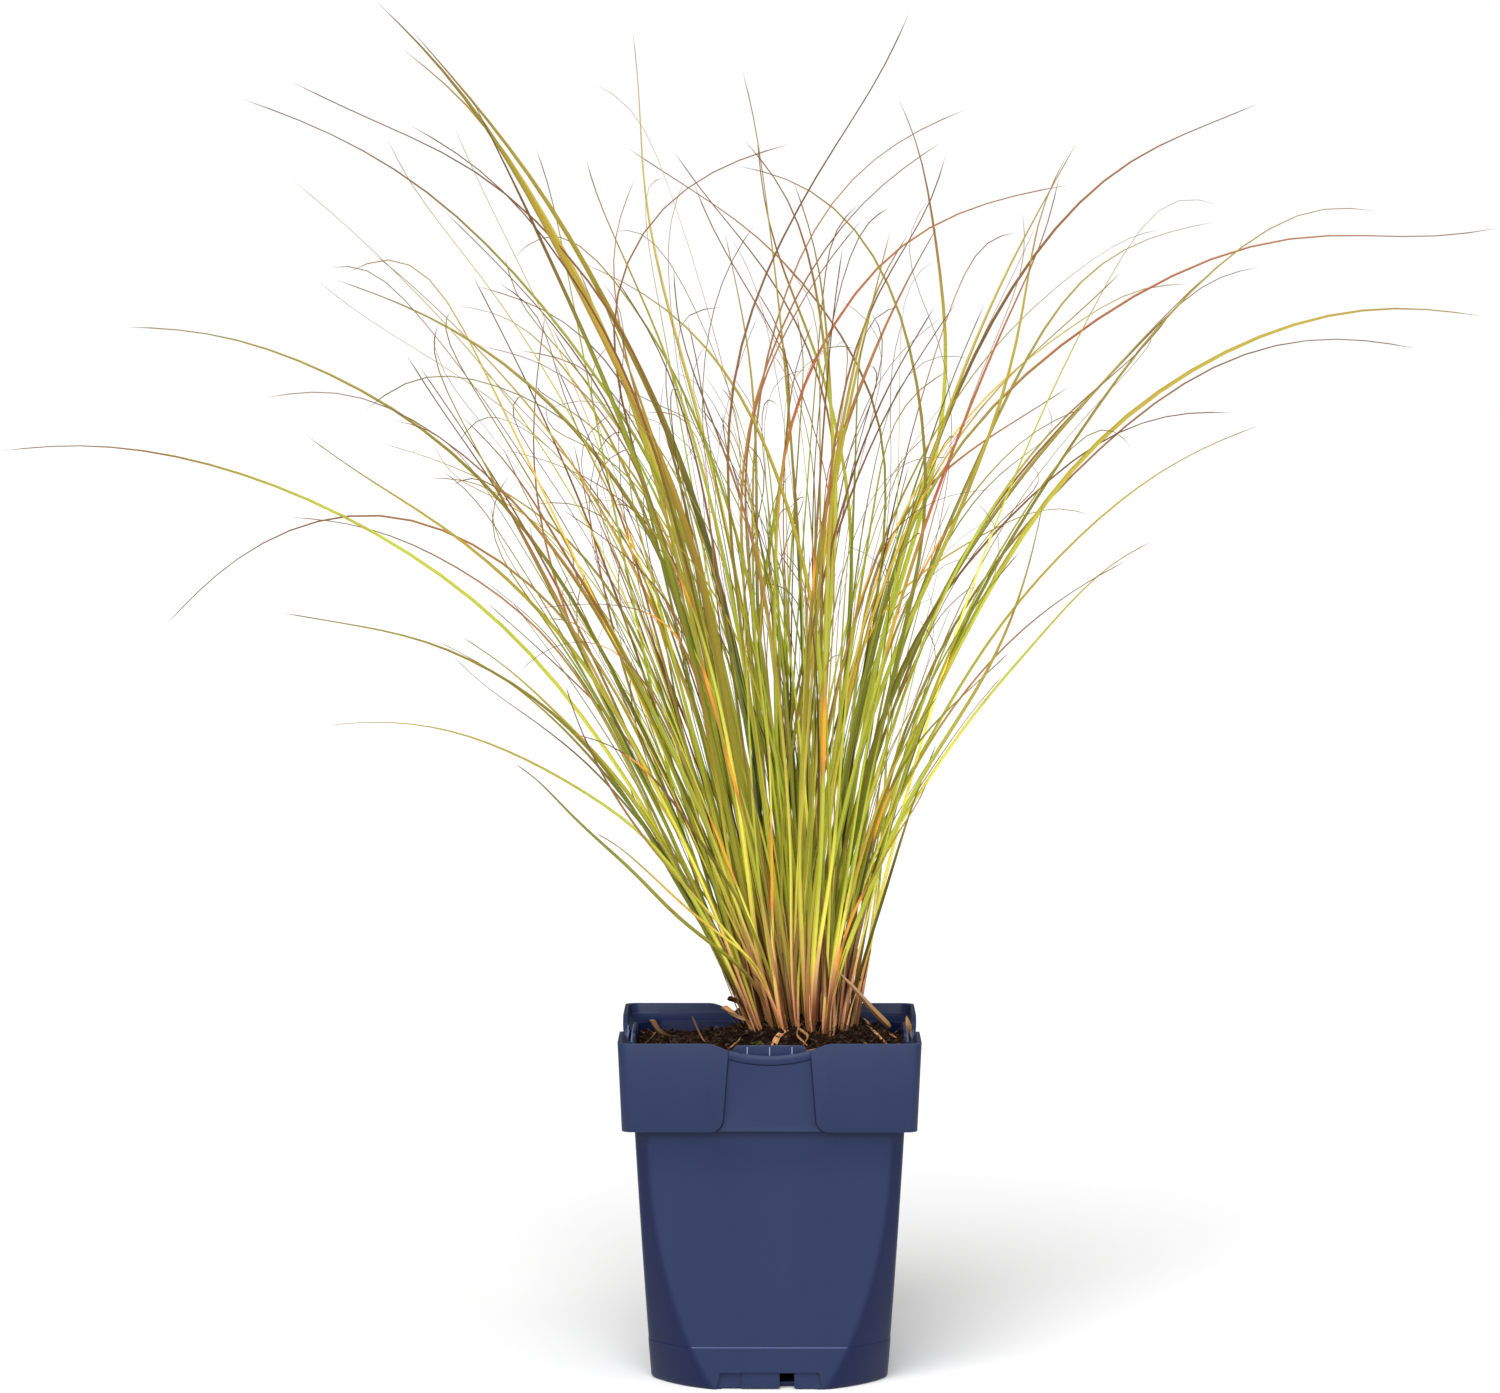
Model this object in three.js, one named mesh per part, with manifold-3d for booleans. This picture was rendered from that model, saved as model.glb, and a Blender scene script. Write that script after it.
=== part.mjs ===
// Potted orange-leaved sedge: a square nursery pot, its soil, and a fountain of
// narrow arching blades that rise from leafy stems. Millimetres, +Z up, origin
// at the centre of the pot's underside, front of the pot towards -Y.

import * as THREE from 'three';
import { mergeVertices } from 'three/addons/utils/BufferGeometryUtils.js';
import Module from 'manifold-3d';

const wasm = await Module();
wasm.setup();

const UP = new THREE.Vector3(0, 0, 1);
const FULL_TURN = 2 * Math.PI;
const GOLDEN_ANGLE = Math.PI * (3 - Math.sqrt(5));
const FIT_GAP = 0.3;
const OVERCUT = 1;

// Pot body: a tapered square whose corners are turned round.
const POT_HEIGHT = 164;
const FOOT_HALF = 55.4;
const BODY_DRAFT = 0.0583;
const BODY_RING_HEIGHTS = [20, 47, 80, 119];
const ROUND_RADIUS_LOW = 61;
const ROUND_RADIUS_GAIN = 23;
const ROUND_RADIUS_HEIGHT = 130;
const ROUND_RADIUS_POWER = 1.9;
const WALL = 1.4;
const FLOOR = 2.2;
const FOOT_EDGE = 1.2;
const CORNER_STEPS = 4;

// Collar: a deep hanging rim with a recessed panel and a label slot on each side.
const COLLAR_HALF = 70;
const COLLAR_HALF_LOW = 68.15;
const COLLAR_LOW_Z = 123.5;
const COLLAR_CORNER = 5;
const COLLAR_WALL = 3.4;
const COLLAR_ROOT_Z = 157;
const RIM_LIP = 1.8;
const RIM_EDGE = 0.6;
const PANEL_RECESS = 2;
const PANEL_HALF_TOP = 19;
const PANEL_HALF_LOW = 24.5;
const PANEL_FOOT_CURVE = 7;
const PANEL_CURVE_SHARES = [0, 0.3, 0.6, 0.85, 1];
const SLOT_HALF = 17.5;
const SLOT_BACK = 65.3;
const SLOT_LOW_Z = 146;

// Dip of the rim above each panel: two slopes [x, drop] and a shallow arc.
const DIP_SLOPE = [[29.4, 0], [24, 1.4], [19, 4.6]];
const DIP_ARC_X = [14, 7, 0];
const DIP_ARC_RADIUS = 40;
const DIP_ARC_DROP = 9.4;

// Foot: a notch at the middle of each side, with a base wall and a drain gap behind it.
const NOTCH_HALF_TOP = 23;
const NOTCH_HALF_LOW = 25;
const NOTCH_HEIGHT = 7.4;
const NOTCH_DEPTH = 3.4;
const BASE_WALL_HALF = 27;
const BASE_WALL_HEIGHT = 9;
const BASE_WALL_INNER = 50;
const DRAIN_CENTRE = 8.1;
const DRAIN_HALF = 3.4;
const DRAIN_LOW_Z = 3.2;
const DRAIN_HIGH_Z = 6.4;

// Soil: level at the wall, mounded round the crown of the plant, lightly rippled.
const SOIL_WALL_Z = 151;
const SOIL_MOUND = 15.5;
const SOIL_MOUND_SPREAD = 36;
const SOIL_RIPPLES = [
  { height: 0.8, alongX: 0.13, alongY: 0.05, start: 1 },
  { height: 0.6, alongX: 0.07, alongY: -0.15, start: 0 },
];
const SOIL_SIDES = 24;
const SOIL_RINGS = [1, 0.86, 0.72, 0.58, 0.45];

// Leafy stems: they stand in a spiral like the seeds of a sunflower, each a sheath
// that leans outward and closes in a point among its blades.
const CROWN_X = 14;
const CROWN_Y = 0;
const CROWN_HALF_X = 25;
const CROWN_HALF_Y = 23;
const TILLERS = 36;
const SHEATH_LEAN = 0.3;
const CLUMP_LEAN = -0.13;
const SHEATH_DEPTH = 13;
const SHEATH_RISE = 25;
const SHEATH_RISE_MIDDLE = 9;
const SHEATH_SHOULDER = 0.7;
const SHEATH_POINT = 6;
const SHEATH_SIDES = 5;
const SHEATH_RADIUS_LOW = 1.8;
const SHEATH_RADIUS = 2.15;
const HOLE_GAP = 0.42;

// Blades: keeled and three-sided, widest low down, ending in a point.
const BLADES_PER_TILLER = 8;
const BLADE_WIDTH = [2.5, 3.3];
const BLADE_TWIST = [0.35, 1.1];
const TWIST_AT_ROOT = 0.4;
const BLADE_THINNEST = 0.7;
const BLADE_KEEL = 0.32;
const KEEL_BELOW_EDGES = 0.75;
const ROOT_WIDTH = 0.78;
const ROOT_WIDENING = 2;
const TAPER_START = 1.5;
const TAPER_POWER = 0.8;
const TIP_CROWDING = 1.25;

// Root of a blade: how high up the sheath it begins and how it leaves the sheath.
const ROOT_LOW = 0.35;
const ROOT_STEP = 0.09;
const ROOT_TURN = 0.45;
const ROOT_HEADING = 24;
const ROOT_SPREAD_LOW = 0.7;
const ROOT_SPREAD = 4;

// Blades copied one by one: how many a stem may bear, and how deep they may reach.
const SEEN_PER_TILLER = 5;
const SEEN_TRIES = 40;
const TRIES_PER_STEM = 8;
const EXTRA_STATIONS = 2;
const PLANT_SEED = 41;
const PLANT_REACH = 330;
const REACH_SHARE = [0.35, 1];
const TIP_DEPTH_SHARE = 0.8;
const TIP_DEPTH_LEAST = [5, 60];
const START_DEPTH = 4;
const DEPTH_POWER = 1.3;
const OUTERMOST_SLOPE = 0.75;

// Blades that fill the tuft: they arch over from their stems by a seeded rule.
const ARCH_TRIES = 200;
const ARCH_PIECES = 5;
const ARCH_LENGTH = [150, 400];
const ARCH_LEAN = [-0.12, 0.14];
const ARCH_DROOP = [-0.1, 1.25];
const ARCH_DROOP_LENGTH = 300;
const ARCH_DROOP_POWER = 1.5;
const ARCH_SWAY = [-0.25, 0.25];
const ARCH_FAN = 0.6;
const ARCH_FAN_MIDDLE = 1.6;
const ARCH_AIM = 200;
const STATION_STRIDE = 62;

// Sides of the tuft as seen from the eye: [z, left, right] on the plane Y = 0.
const TUFT_SIDES = [
  [160, -16, 40], [182, -19, 41], [211, -38, 45], [239, -60, 54], [270, -73, 66],
  [308, -98, 84], [345, -107, 100], [383, -131, 115], [420, -160, 134], [458, -178, 176],
  [495, -200, 250], [640, -200, 250],
];

// Air grid: it remembers which stem fills each cell, so that no two stems meet.
const CELL = 1.5;
const GRID_LOW = [-390, -345, 150];
const GRID_CELLS = [500, 460, 345];
const SHARED = 127;
const SAMPLE_STEP = 2.5;
const OTHER_HALF_WIDTH = 1.7;
const SHEATH_CLEARANCE = 1.4;
const OWN_CLEAR_FROM = 32;
const grid = new Int8Array(GRID_CELLS[0] * GRID_CELLS[1] * GRID_CELLS[2]);

// The eye stands this far in front of the crown and this high above the ground.
// A blade seen from there at a place on the plane Y = 0 keeps that place
// whatever its depth.
const EYE = new THREE.Vector3(0, -2410, 502);

// Blades copied one by one. Each line is one blade from low to high, as places
// [x, z] where it is seen on the plane Y = 0.
const SEEN_BLADES = [
  // low and middle left
  [[-104, 332], [-160, 381], [-220, 414], [-280, 433], [-320, 438], [-361, 434]],
  [[-100, 378], [-140, 428], [-200, 468], [-260, 490], [-301, 492]],
  [[-88, 372], [-130, 421], [-170, 452], [-200, 464], [-236, 459]],
  [[-84, 331], [-120, 372], [-160, 404], [-200, 428], [-218, 442]],
  [[-80, 337], [-130, 387], [-163, 405], [-210, 404], [-250, 386], [-284, 352]],
  [[-92, 333], [-140, 376], [-200, 402], [-225, 403]],
  [[-50, 386], [-85, 438], [-120, 473], [-160, 498], [-203, 514]],
  [[-60, 410], [-85, 458], [-110, 490], [-137, 506], [-147, 502]],
  [[-95, 355], [-125, 412], [-150, 449], [-166, 466], [-170, 479]],
  [[-70, 363], [-100, 399], [-140, 424], [-183, 438]],
  [[-75, 352], [-105, 399], [-128, 437], [-144, 450]],
  [[-62, 385], [-85, 420], [-110, 447], [-137, 475]],
  [[-76, 310], [-100, 370], [-110, 410], [-111, 450], [-105, 498]],
  [[-50, 398], [-70, 413], [-90, 424], [-112, 433], [-126, 435]],
  [[-68, 440], [-95, 471], [-120, 481], [-135, 483]],
  [[-60, 445], [-78, 470], [-104, 483], [-117, 481]],
  [[-70, 405], [-88, 448], [-98, 467], [-101, 476]],
  [[-42, 350], [-60, 362], [-80, 363], [-110, 360]],
  [[-62, 310], [-75, 355], [-84, 402], [-92, 438]],
  [[-45, 360], [-65, 384], [-85, 398], [-98, 407]],
  // lowest left
  [[-80, 290], [-120, 325], [-160, 345], [-200, 353], [-229, 358]],
  [[-72, 273], [-100, 300], [-130, 320], [-149, 338]],
  [[-52, 247], [-100, 281], [-140, 300], [-175, 307], [-208, 305]],
  [[-56, 255], [-80, 284], [-100, 307], [-130, 331], [-157, 345]],
  [[-60, 266], [-90, 300], [-120, 330], [-145, 347]],
  [[-60, 290], [-86, 320], [-125, 356], [-133, 363]],
  [[-52, 315], [-75, 344], [-95, 348], [-105, 342], [-118, 330]],
  [[-30, 201], [-60, 232], [-91, 260], [-114, 284], [-120, 287]],
  [[-32, 212], [-48, 227], [-60, 238], [-71, 248], [-82, 254]],
  [[-40, 237], [-56, 259], [-66, 273], [-67, 279]],
  [[-50, 275], [-67, 292], [-80, 298], [-93, 301]],
  [[-50, 240], [-72, 270], [-85, 294], [-91, 308], [-96, 324]],
  // top left
  [[-38, 400], [-80, 490], [-110, 550], [-140, 599], [-160, 621], [-183, 643]],
  [[-34, 410], [-70, 491], [-100, 546], [-135, 593], [-167, 630]],
  [[-58, 420], [-88, 490], [-107, 534], [-130, 581], [-140, 600]],
  [[-60, 450], [-95, 525], [-125, 577], [-145, 602], [-171, 621]],
  [[-52, 460], [-90, 522], [-120, 555], [-160, 580], [-205, 594], [-223, 606]],
  [[-66, 470], [-112, 543], [-130, 563], [-150, 578], [-168, 586]],
  [[-42, 405], [-80, 468], [-120, 519], [-160, 557], [-200, 581], [-246, 598]],
  [[-62, 430], [-100, 494], [-130, 524], [-152, 546]],
  [[-64, 462], [-90, 493], [-110, 504], [-137, 511]],
  [[-23, 413], [-40, 473], [-55, 530], [-62, 580], [-59, 619], [-64, 630]],
  [[-48, 410], [-67, 475], [-74, 515], [-71, 554], [-63, 561]],
  [[-62, 430], [-77, 492], [-65, 535], [-35, 559], [-6, 578], [9, 577]],
  [[22, 360], [14, 391], [-9, 454], [-30, 485], [-50, 504], [-88, 522]],
  [[-3, 375], [-24, 440], [-37, 475], [-46, 500], [-45, 520]],
  [[56, 440], [42, 475], [15, 515], [-7, 537], [-45, 561], [-66, 575]],
  [[32, 440], [20, 480], [3, 514], [-13, 532], [-34, 557], [-45, 574]],
  [[-34, 430], [-50, 478], [-60, 499], [-73, 516]],
  // top middle
  [[-22, 455], [-14, 488], [3, 529], [25, 569], [46, 599], [62, 625], [65, 638]],
  [[54, 350], [69, 398], [80, 431], [83, 489], [72, 564], [68, 588], [60, 598]],
  [[-8, 440], [-1, 482], [12, 523], [30, 555], [51, 575], [91, 593]],
  [[-14, 430], [0, 480], [16, 515], [35, 543], [58, 564], [80, 578]],
  [[61, 342], [76, 410], [72, 450], [59, 510], [42, 539], [16, 561], [-15, 567]],
  [[40, 380], [34, 433], [24, 477], [8, 512], [-2, 541], [-5, 568], [-6, 582]],
  [[32, 420], [27, 470], [23, 507], [15, 538], [3, 566], [-12, 579]],
  [[30, 400], [28, 470], [25, 510], [20, 538], [11, 560]],
  [[6, 440], [18, 472], [37, 508], [62, 534], [90, 548], [139, 558]],
  [[30, 440], [36, 472], [45, 499], [58, 523], [75, 546], [84, 562], [82, 572]],
  [[28, 420], [45, 472], [56, 494], [65, 516], [79, 540]],
  [[30, 430], [39, 472], [43, 495], [51, 514], [65, 536]],
  [[-6, 350], [-6, 415], [-7, 451], [-10, 484], [-17, 517], [-21, 536]],
  [[-6, 350], [-1, 383], [5, 419], [10, 457], [8, 485], [-1, 504], [-8, 511]],
  [[-12, 440], [0, 475], [10, 496], [22, 517], [38, 536], [43, 542]],
  [[24, 430], [27, 470], [29, 495], [33, 516], [34, 529]],
  [[38, 440], [53, 471], [63, 484], [76, 495], [81, 497]],
  // right
  [[48, 340], [70, 415], [95, 480], [119, 521], [141, 549], [170, 573], [200, 584], [228, 596]],
  [[60, 340], [98, 431], [120, 479], [139, 509], [160, 529], [190, 538], [208, 541]],
  [[58, 340], [81, 386], [106, 450], [119, 494], [122, 536], [130, 560], [138, 571]],
  [[66, 380], [96, 460], [119, 515], [133, 541], [137, 551], [135, 562]],
  [[84, 340], [131, 422], [164, 470], [202, 517], [239, 542], [270, 556], [283, 546]],
  [[71, 417], [130, 479], [189, 519], [249, 537], [292, 535], [320, 529], [340, 538]],
  [[76, 360], [120, 428], [165, 475], [188, 500], [209, 519], [220, 523], [229, 520]],
  [[58, 400], [77, 431], [110, 470], [149, 497], [177, 515], [189, 515], [195, 512]],
  [[73, 312], [101, 366], [130, 415], [170, 455], [219, 485], [269, 501], [304, 502], [333, 497]],
  [[68, 318], [96, 370], [130, 411], [185, 462], [229, 484], [269, 488], [302, 482]],
  [[66, 345], [95, 385], [130, 420], [161, 444], [190, 453], [216, 452]],
  [[60, 270], [83, 314], [118, 366], [150, 399], [190, 430], [229, 446]],
  [[56, 250], [74, 279], [100, 316], [130, 350], [157, 380], [180, 392]],
  [[70, 290], [106, 338], [130, 361], [168, 383]],
  [[46, 352], [66, 374], [94, 392], [122, 405], [138, 412], [151, 404]],
  [[52, 242], [80, 295], [103, 331], [119, 370], [128, 409]],
  [[52, 310], [71, 349], [110, 413], [149, 458], [181, 494], [204, 516]],
  [[80, 365], [104, 408], [130, 443], [152, 464], [176, 481], [187, 493], [188, 499]],
  [[50, 385], [66, 410], [82, 426], [103, 441], [130, 457], [140, 464]],
  [[62, 360], [92, 410], [110, 433], [130, 449], [149, 455]],
  [[60, 318], [76, 349], [85, 365], [97, 372]],
  [[44, 370], [62, 405], [80, 415], [97, 413], [109, 416]],
  [[58, 280], [75, 303], [91, 320], [104, 331], [113, 340]],
  [[50, 235], [60, 254], [68, 265], [74, 278]],
];

// Dead leaf ends on the soil: start and end [x, y], sideways bow, width.
const DRY_STRAWS = [
  { from: [-56, -8], to: [-43, -27], bow: 2, width: 3.4 },
  { from: [-59, -30], to: [-50, -46], bow: -1.5, width: 1.8 },
  { from: [-37, 8], to: [-30, -14], bow: 1, width: 1.6 },
  { from: [-56, 13], to: [-43, 32], bow: 2.5, width: 2 },
  { from: [-20, -42], to: [-2, -30], bow: 3, width: 1.8 },
  { from: [44, -27], to: [58, -46], bow: -2, width: 2.8 },
  { from: [48, 22], to: [60, 2], bow: 2, width: 1.8 },
  { from: [4, -46], to: [26, -40], bow: -3, width: 1.6 },
];
const STRAW_STEPS = 3;
const STRAW_THICK = 0.8;
const STRAW_TAPER = 0.5;
const STRAW_LIFT = 1.2;

const FINISHES = {
  pot: { color: 0x3d4566, roughness: 0.5 },
  soil: { color: 0x2b2119, roughness: 1 },
  leaf_green: { color: 0x6f7a26, roughness: 0.5 },
  leaf_olive: { color: 0x6a6420, roughness: 0.5 },
  leaf_bronze: { color: 0x8a4f24, roughness: 0.5 },
  leaf_gold: { color: 0xa8942c, roughness: 0.5 },
  dry_straw: { color: 0xb98b5c, roughness: 0.8 },
};
const LEAF_FINISHES = ['leaf_green', 'leaf_olive', 'leaf_bronze', 'leaf_gold'];

let drawState = PLANT_SEED;

/** Gives the next number of a fixed sequence, between low and high. */
function draw([low, high]) {
  drawState = (drawState * 16807) % 2147483647;
  return low + (high - low) * (drawState / 2147483647);
}

/** Gives -1 or 1 by the same sequence. */
function drawSide() {
  return draw([-1, 1]) < 0 ? -1 : 1;
}

/** Joins rings of points, each turning anticlockwise about the way they run. */
function loft(rings) {
  const positions = [];
  const index = [];
  const starts = [];
  for (const ring of rings) {
    starts.push(positions.length / 3);
    ring.forEach((point) => positions.push(point.x, point.y, point.z));
  }
  for (let r = 0; r + 1 < rings.length; r += 1) {
    const count = rings[r].length;
    for (let k = 0; k < count; k += 1) {
      const next = (k + 1) % count;
      const low = [starts[r] + k, starts[r] + next];
      if (rings[r + 1].length === 1) {
        index.push(low[0], low[1], starts[r + 1]);
      } else {
        index.push(low[0], low[1], starts[r + 1] + next);
        index.push(low[0], starts[r + 1] + next, starts[r + 1] + k);
      }
    }
  }
  const last = rings.length - 1;
  for (let k = 1; k + 1 < rings[0].length; k += 1) {
    index.push(starts[0], starts[0] + k + 1, starts[0] + k);
  }
  for (let k = 1; k + 1 < rings[last].length; k += 1) {
    index.push(starts[last], starts[last] + k, starts[last] + k + 1);
  }
  const geometry = new THREE.BufferGeometry();
  geometry.setAttribute('position', new THREE.Float32BufferAttribute(positions, 3));
  geometry.setIndex(index);
  return geometry;
}

/** Turns a closed geometry into a solid that can be joined and cut. */
function solidOf(geometry) {
  const bare = geometry.clone();
  bare.deleteAttribute('normal');
  bare.deleteAttribute('uv');
  const merged = mergeVertices(bare, 1e-5);
  const mesh = new wasm.Mesh({
    numProp: 3,
    vertProperties: new Float32Array(merged.attributes.position.array),
    triVerts: new Uint32Array(merged.index.array),
  });
  return new wasm.Manifold(mesh);
}

/** Turns a solid back into a geometry. */
function geometryOf(solid) {
  const { vertProperties, triVerts } = solid.getMesh();
  const geometry = new THREE.BufferGeometry();
  geometry.setAttribute('position', new THREE.Float32BufferAttribute(vertProperties, 3));
  geometry.setIndex(new THREE.Uint32BufferAttribute(triVerts, 1));
  return geometry;
}

/** Names a geometry as one sub-part with its finish. */
function pieceOf(name, geometry, finish) {
  const material = new THREE.MeshStandardMaterial({ ...FINISHES[finish], metalness: 0 });
  const piece = new THREE.Mesh(geometry, material);
  piece.name = name;
  piece.geometry.computeVertexNormals();
  return piece;
}

/** Gives a ring at height z with an arc at each corner, anticlockwise from above. */
function cornerRing(z, corner) {
  const ring = [];
  for (let quarter = 0; quarter < 4; quarter += 1) {
    for (let k = 0; k <= CORNER_STEPS; k += 1) {
      const { x, y } = corner(k / CORNER_STEPS);
      ring.push(new THREE.Vector3(x, y, z).applyAxisAngle(UP, quarter * FULL_TURN / 4));
    }
  }
  return ring;
}

/** Half the width of the flat sides of the pot body at height z. */
function bodyHalf(z) {
  return FOOT_HALF + BODY_DRAFT * z;
}

/** Radius that rounds the corners of the pot body at height z. */
function bodyRadius(z) {
  const share = 1 - Math.min(z, ROUND_RADIUS_HEIGHT) / ROUND_RADIUS_HEIGHT;
  return ROUND_RADIUS_LOW + ROUND_RADIUS_GAIN * (1 - Math.pow(share, ROUND_RADIUS_POWER));
}

/** Ring of the pot body at height z, taken in by inset. */
function bodyRing(z, inset) {
  const radius = bodyRadius(z) - inset;
  const crease = Math.acos((bodyHalf(z) - inset) / radius);
  return cornerRing(z, (share) => {
    const angle = crease + share * (FULL_TURN / 4 - 2 * crease);
    return { x: radius * Math.cos(angle), y: radius * Math.sin(angle) };
  });
}

/** Ring of the collar: a square of the given half width with rounded corners. */
function collarRing(z, half) {
  const centre = half - COLLAR_CORNER;
  return cornerRing(z, (share) => {
    const angle = share * FULL_TURN / 4;
    return {
      x: centre + COLLAR_CORNER * Math.cos(angle),
      y: centre + COLLAR_CORNER * Math.sin(angle),
    };
  });
}

/** Extrudes an outline [x, z] along Y from yLow to yHigh. */
function slab(outline, yLow, yHigh) {
  const shape = new THREE.Shape(outline.map(([x, z]) => new THREE.Vector2(x, z)));
  const geometry = new THREE.ExtrudeGeometry(shape, { depth: yHigh - yLow, bevelEnabled: false });
  geometry.rotateX(FULL_TURN / 4);
  geometry.translate(0, yHigh, 0);
  return solidOf(geometry);
}

/** A box from its lowest to its highest corner. */
function block([x0, y0, z0], [x1, y1, z1]) {
  const geometry = new THREE.BoxGeometry(x1 - x0, y1 - y0, z1 - z0);
  geometry.translate((x0 + x1) / 2, (y0 + y1) / 2, (z0 + z1) / 2);
  return solidOf(geometry);
}

/** Repeats a solid on the four sides of the pot. */
function onFourSides(solid) {
  return [0, 90, 180, 270].map((turn) => solid.rotate([0, 0, turn]));
}

/** Mirrors an outline [x, z] of the right half and adds it as the left half. */
function bothHalves(right) {
  const left = right.filter(([x]) => x > 0).map(([x, z]) => [-x, z]).reverse();
  return [...right, ...left];
}

/** The recess of a collar panel, flared where the corner panels are rounded. */
function panelRecess() {
  const slope = (PANEL_HALF_LOW - PANEL_HALF_TOP) / (POT_HEIGHT - COLLAR_LOW_Z);
  const flare = PANEL_CURVE_SHARES.map((share) => {
    const angle = share * FULL_TURN / 4;
    const rise = PANEL_FOOT_CURVE * (1 - Math.sin(angle));
    const half = PANEL_HALF_LOW - slope * rise + PANEL_FOOT_CURVE * (1 - Math.cos(angle));
    return [half, COLLAR_LOW_Z + rise];
  });
  const widest = PANEL_HALF_LOW + PANEL_FOOT_CURVE;
  const right = [[PANEL_HALF_TOP, POT_HEIGHT + OVERCUT], ...flare, [widest, COLLAR_LOW_Z - OVERCUT]];
  return slab(bothHalves(right), -COLLAR_HALF - OVERCUT, -COLLAR_HALF_LOW + PANEL_RECESS);
}

/** What is cut away above a collar panel. */
function panelDip() {
  const arcCentre = DIP_ARC_RADIUS - DIP_ARC_DROP;
  const slopes = DIP_SLOPE.map(([x, drop]) => [x, POT_HEIGHT - drop]);
  const arc = DIP_ARC_X.map((x) => {
    return [x, POT_HEIGHT + arcCentre - Math.sqrt(DIP_ARC_RADIUS ** 2 - x ** 2)];
  });
  const right = [[DIP_SLOPE[0][0], POT_HEIGHT + OVERCUT], ...slopes, ...arc];
  return slab(bothHalves(right), -COLLAR_HALF - OVERCUT, -SLOT_BACK);
}

/** The outside and inside of the pot before anything is cut. */
function potShell() {
  const rings = [bodyRing(0, FOOT_EDGE / 2), bodyRing(FOOT_EDGE, 0)];
  BODY_RING_HEIGHTS.forEach((z) => rings.push(bodyRing(z, 0)));
  rings.push(bodyRing(COLLAR_ROOT_Z - COLLAR_WALL, 0));
  rings.push(collarRing(COLLAR_ROOT_Z, COLLAR_HALF - COLLAR_WALL));
  rings.push(collarRing(COLLAR_LOW_Z, COLLAR_HALF_LOW - COLLAR_WALL));
  rings.push(collarRing(COLLAR_LOW_Z, COLLAR_HALF_LOW));
  rings.push(collarRing(POT_HEIGHT - RIM_EDGE, COLLAR_HALF));
  rings.push(collarRing(POT_HEIGHT, COLLAR_HALF - RIM_EDGE));
  rings.push(collarRing(POT_HEIGHT, COLLAR_HALF - RIM_LIP));
  rings.push(bodyRing(COLLAR_ROOT_Z, WALL));
  [...BODY_RING_HEIGHTS].reverse().forEach((z) => rings.push(bodyRing(z, WALL)));
  rings.push(bodyRing(FLOOR, WALL));
  return solidOf(loft(rings));
}

/** The whole pot, one moulding. */
function makePot() {
  let pot = potShell();
  const baseWall = block(
    [-BASE_WALL_HALF, -bodyHalf(BASE_WALL_HEIGHT) + WALL / 2, FLOOR / 2],
    [BASE_WALL_HALF, -BASE_WALL_INNER, BASE_WALL_HEIGHT],
  );
  onFourSides(baseWall).forEach((wall) => {
    pot = pot.add(wall);
  });
  const notch = slab(
    bothHalves([[NOTCH_HALF_TOP, NOTCH_HEIGHT], [NOTCH_HALF_LOW, -OVERCUT]]),
    -FOOT_HALF - OVERCUT,
    -FOOT_HALF + NOTCH_DEPTH,
  );
  const drain = block(
    [DRAIN_CENTRE - DRAIN_HALF, -FOOT_HALF - OVERCUT, DRAIN_LOW_Z],
    [DRAIN_CENTRE + DRAIN_HALF, -BASE_WALL_INNER + OVERCUT, DRAIN_HIGH_Z],
  );
  const slot = block(
    [-SLOT_HALF, -COLLAR_HALF + COLLAR_WALL, SLOT_LOW_Z],
    [SLOT_HALF, -SLOT_BACK, POT_HEIGHT + OVERCUT],
  );
  for (const cutter of [panelRecess(), panelDip(), slot, notch, drain]) {
    onFourSides(cutter).forEach((cut) => {
      pot = pot.subtract(cut);
    });
  }
  return pieceOf('pot', geometryOf(pot), 'pot');
}

/** Height of the soil at a place. */
function soilHeight(x, y) {
  const away = Math.hypot(x - CROWN_X, y - CROWN_Y) / SOIL_MOUND_SPREAD;
  const mound = SOIL_MOUND * Math.exp(-away * away);
  return SOIL_RIPPLES.reduce((z, { height, alongX, alongY, start }) => {
    return z + height * Math.sin(alongX * x + alongY * y + start);
  }, SOIL_WALL_Z + mound);
}

/** Ring of the soil at a height, a share of the way out from the crown. */
function soilRing(z, share, onSurface) {
  const ring = [];
  for (let k = 0; k < SOIL_SIDES; k += 1) {
    const angle = (k + 0.5) / SOIL_SIDES * FULL_TURN;
    const square = (bodyHalf(z) - WALL - FIT_GAP)
      / Math.max(Math.abs(Math.cos(angle)), Math.abs(Math.sin(angle)));
    const radius = Math.min(square, bodyRadius(z) - WALL - 2 * FIT_GAP) * share;
    const x = radius * Math.cos(angle) + CROWN_X * (1 - share);
    const y = radius * Math.sin(angle) + CROWN_Y * (1 - share);
    ring.push(new THREE.Vector3(x, y, onSurface ? soilHeight(x, y) : z));
  }
  return ring;
}

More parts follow.
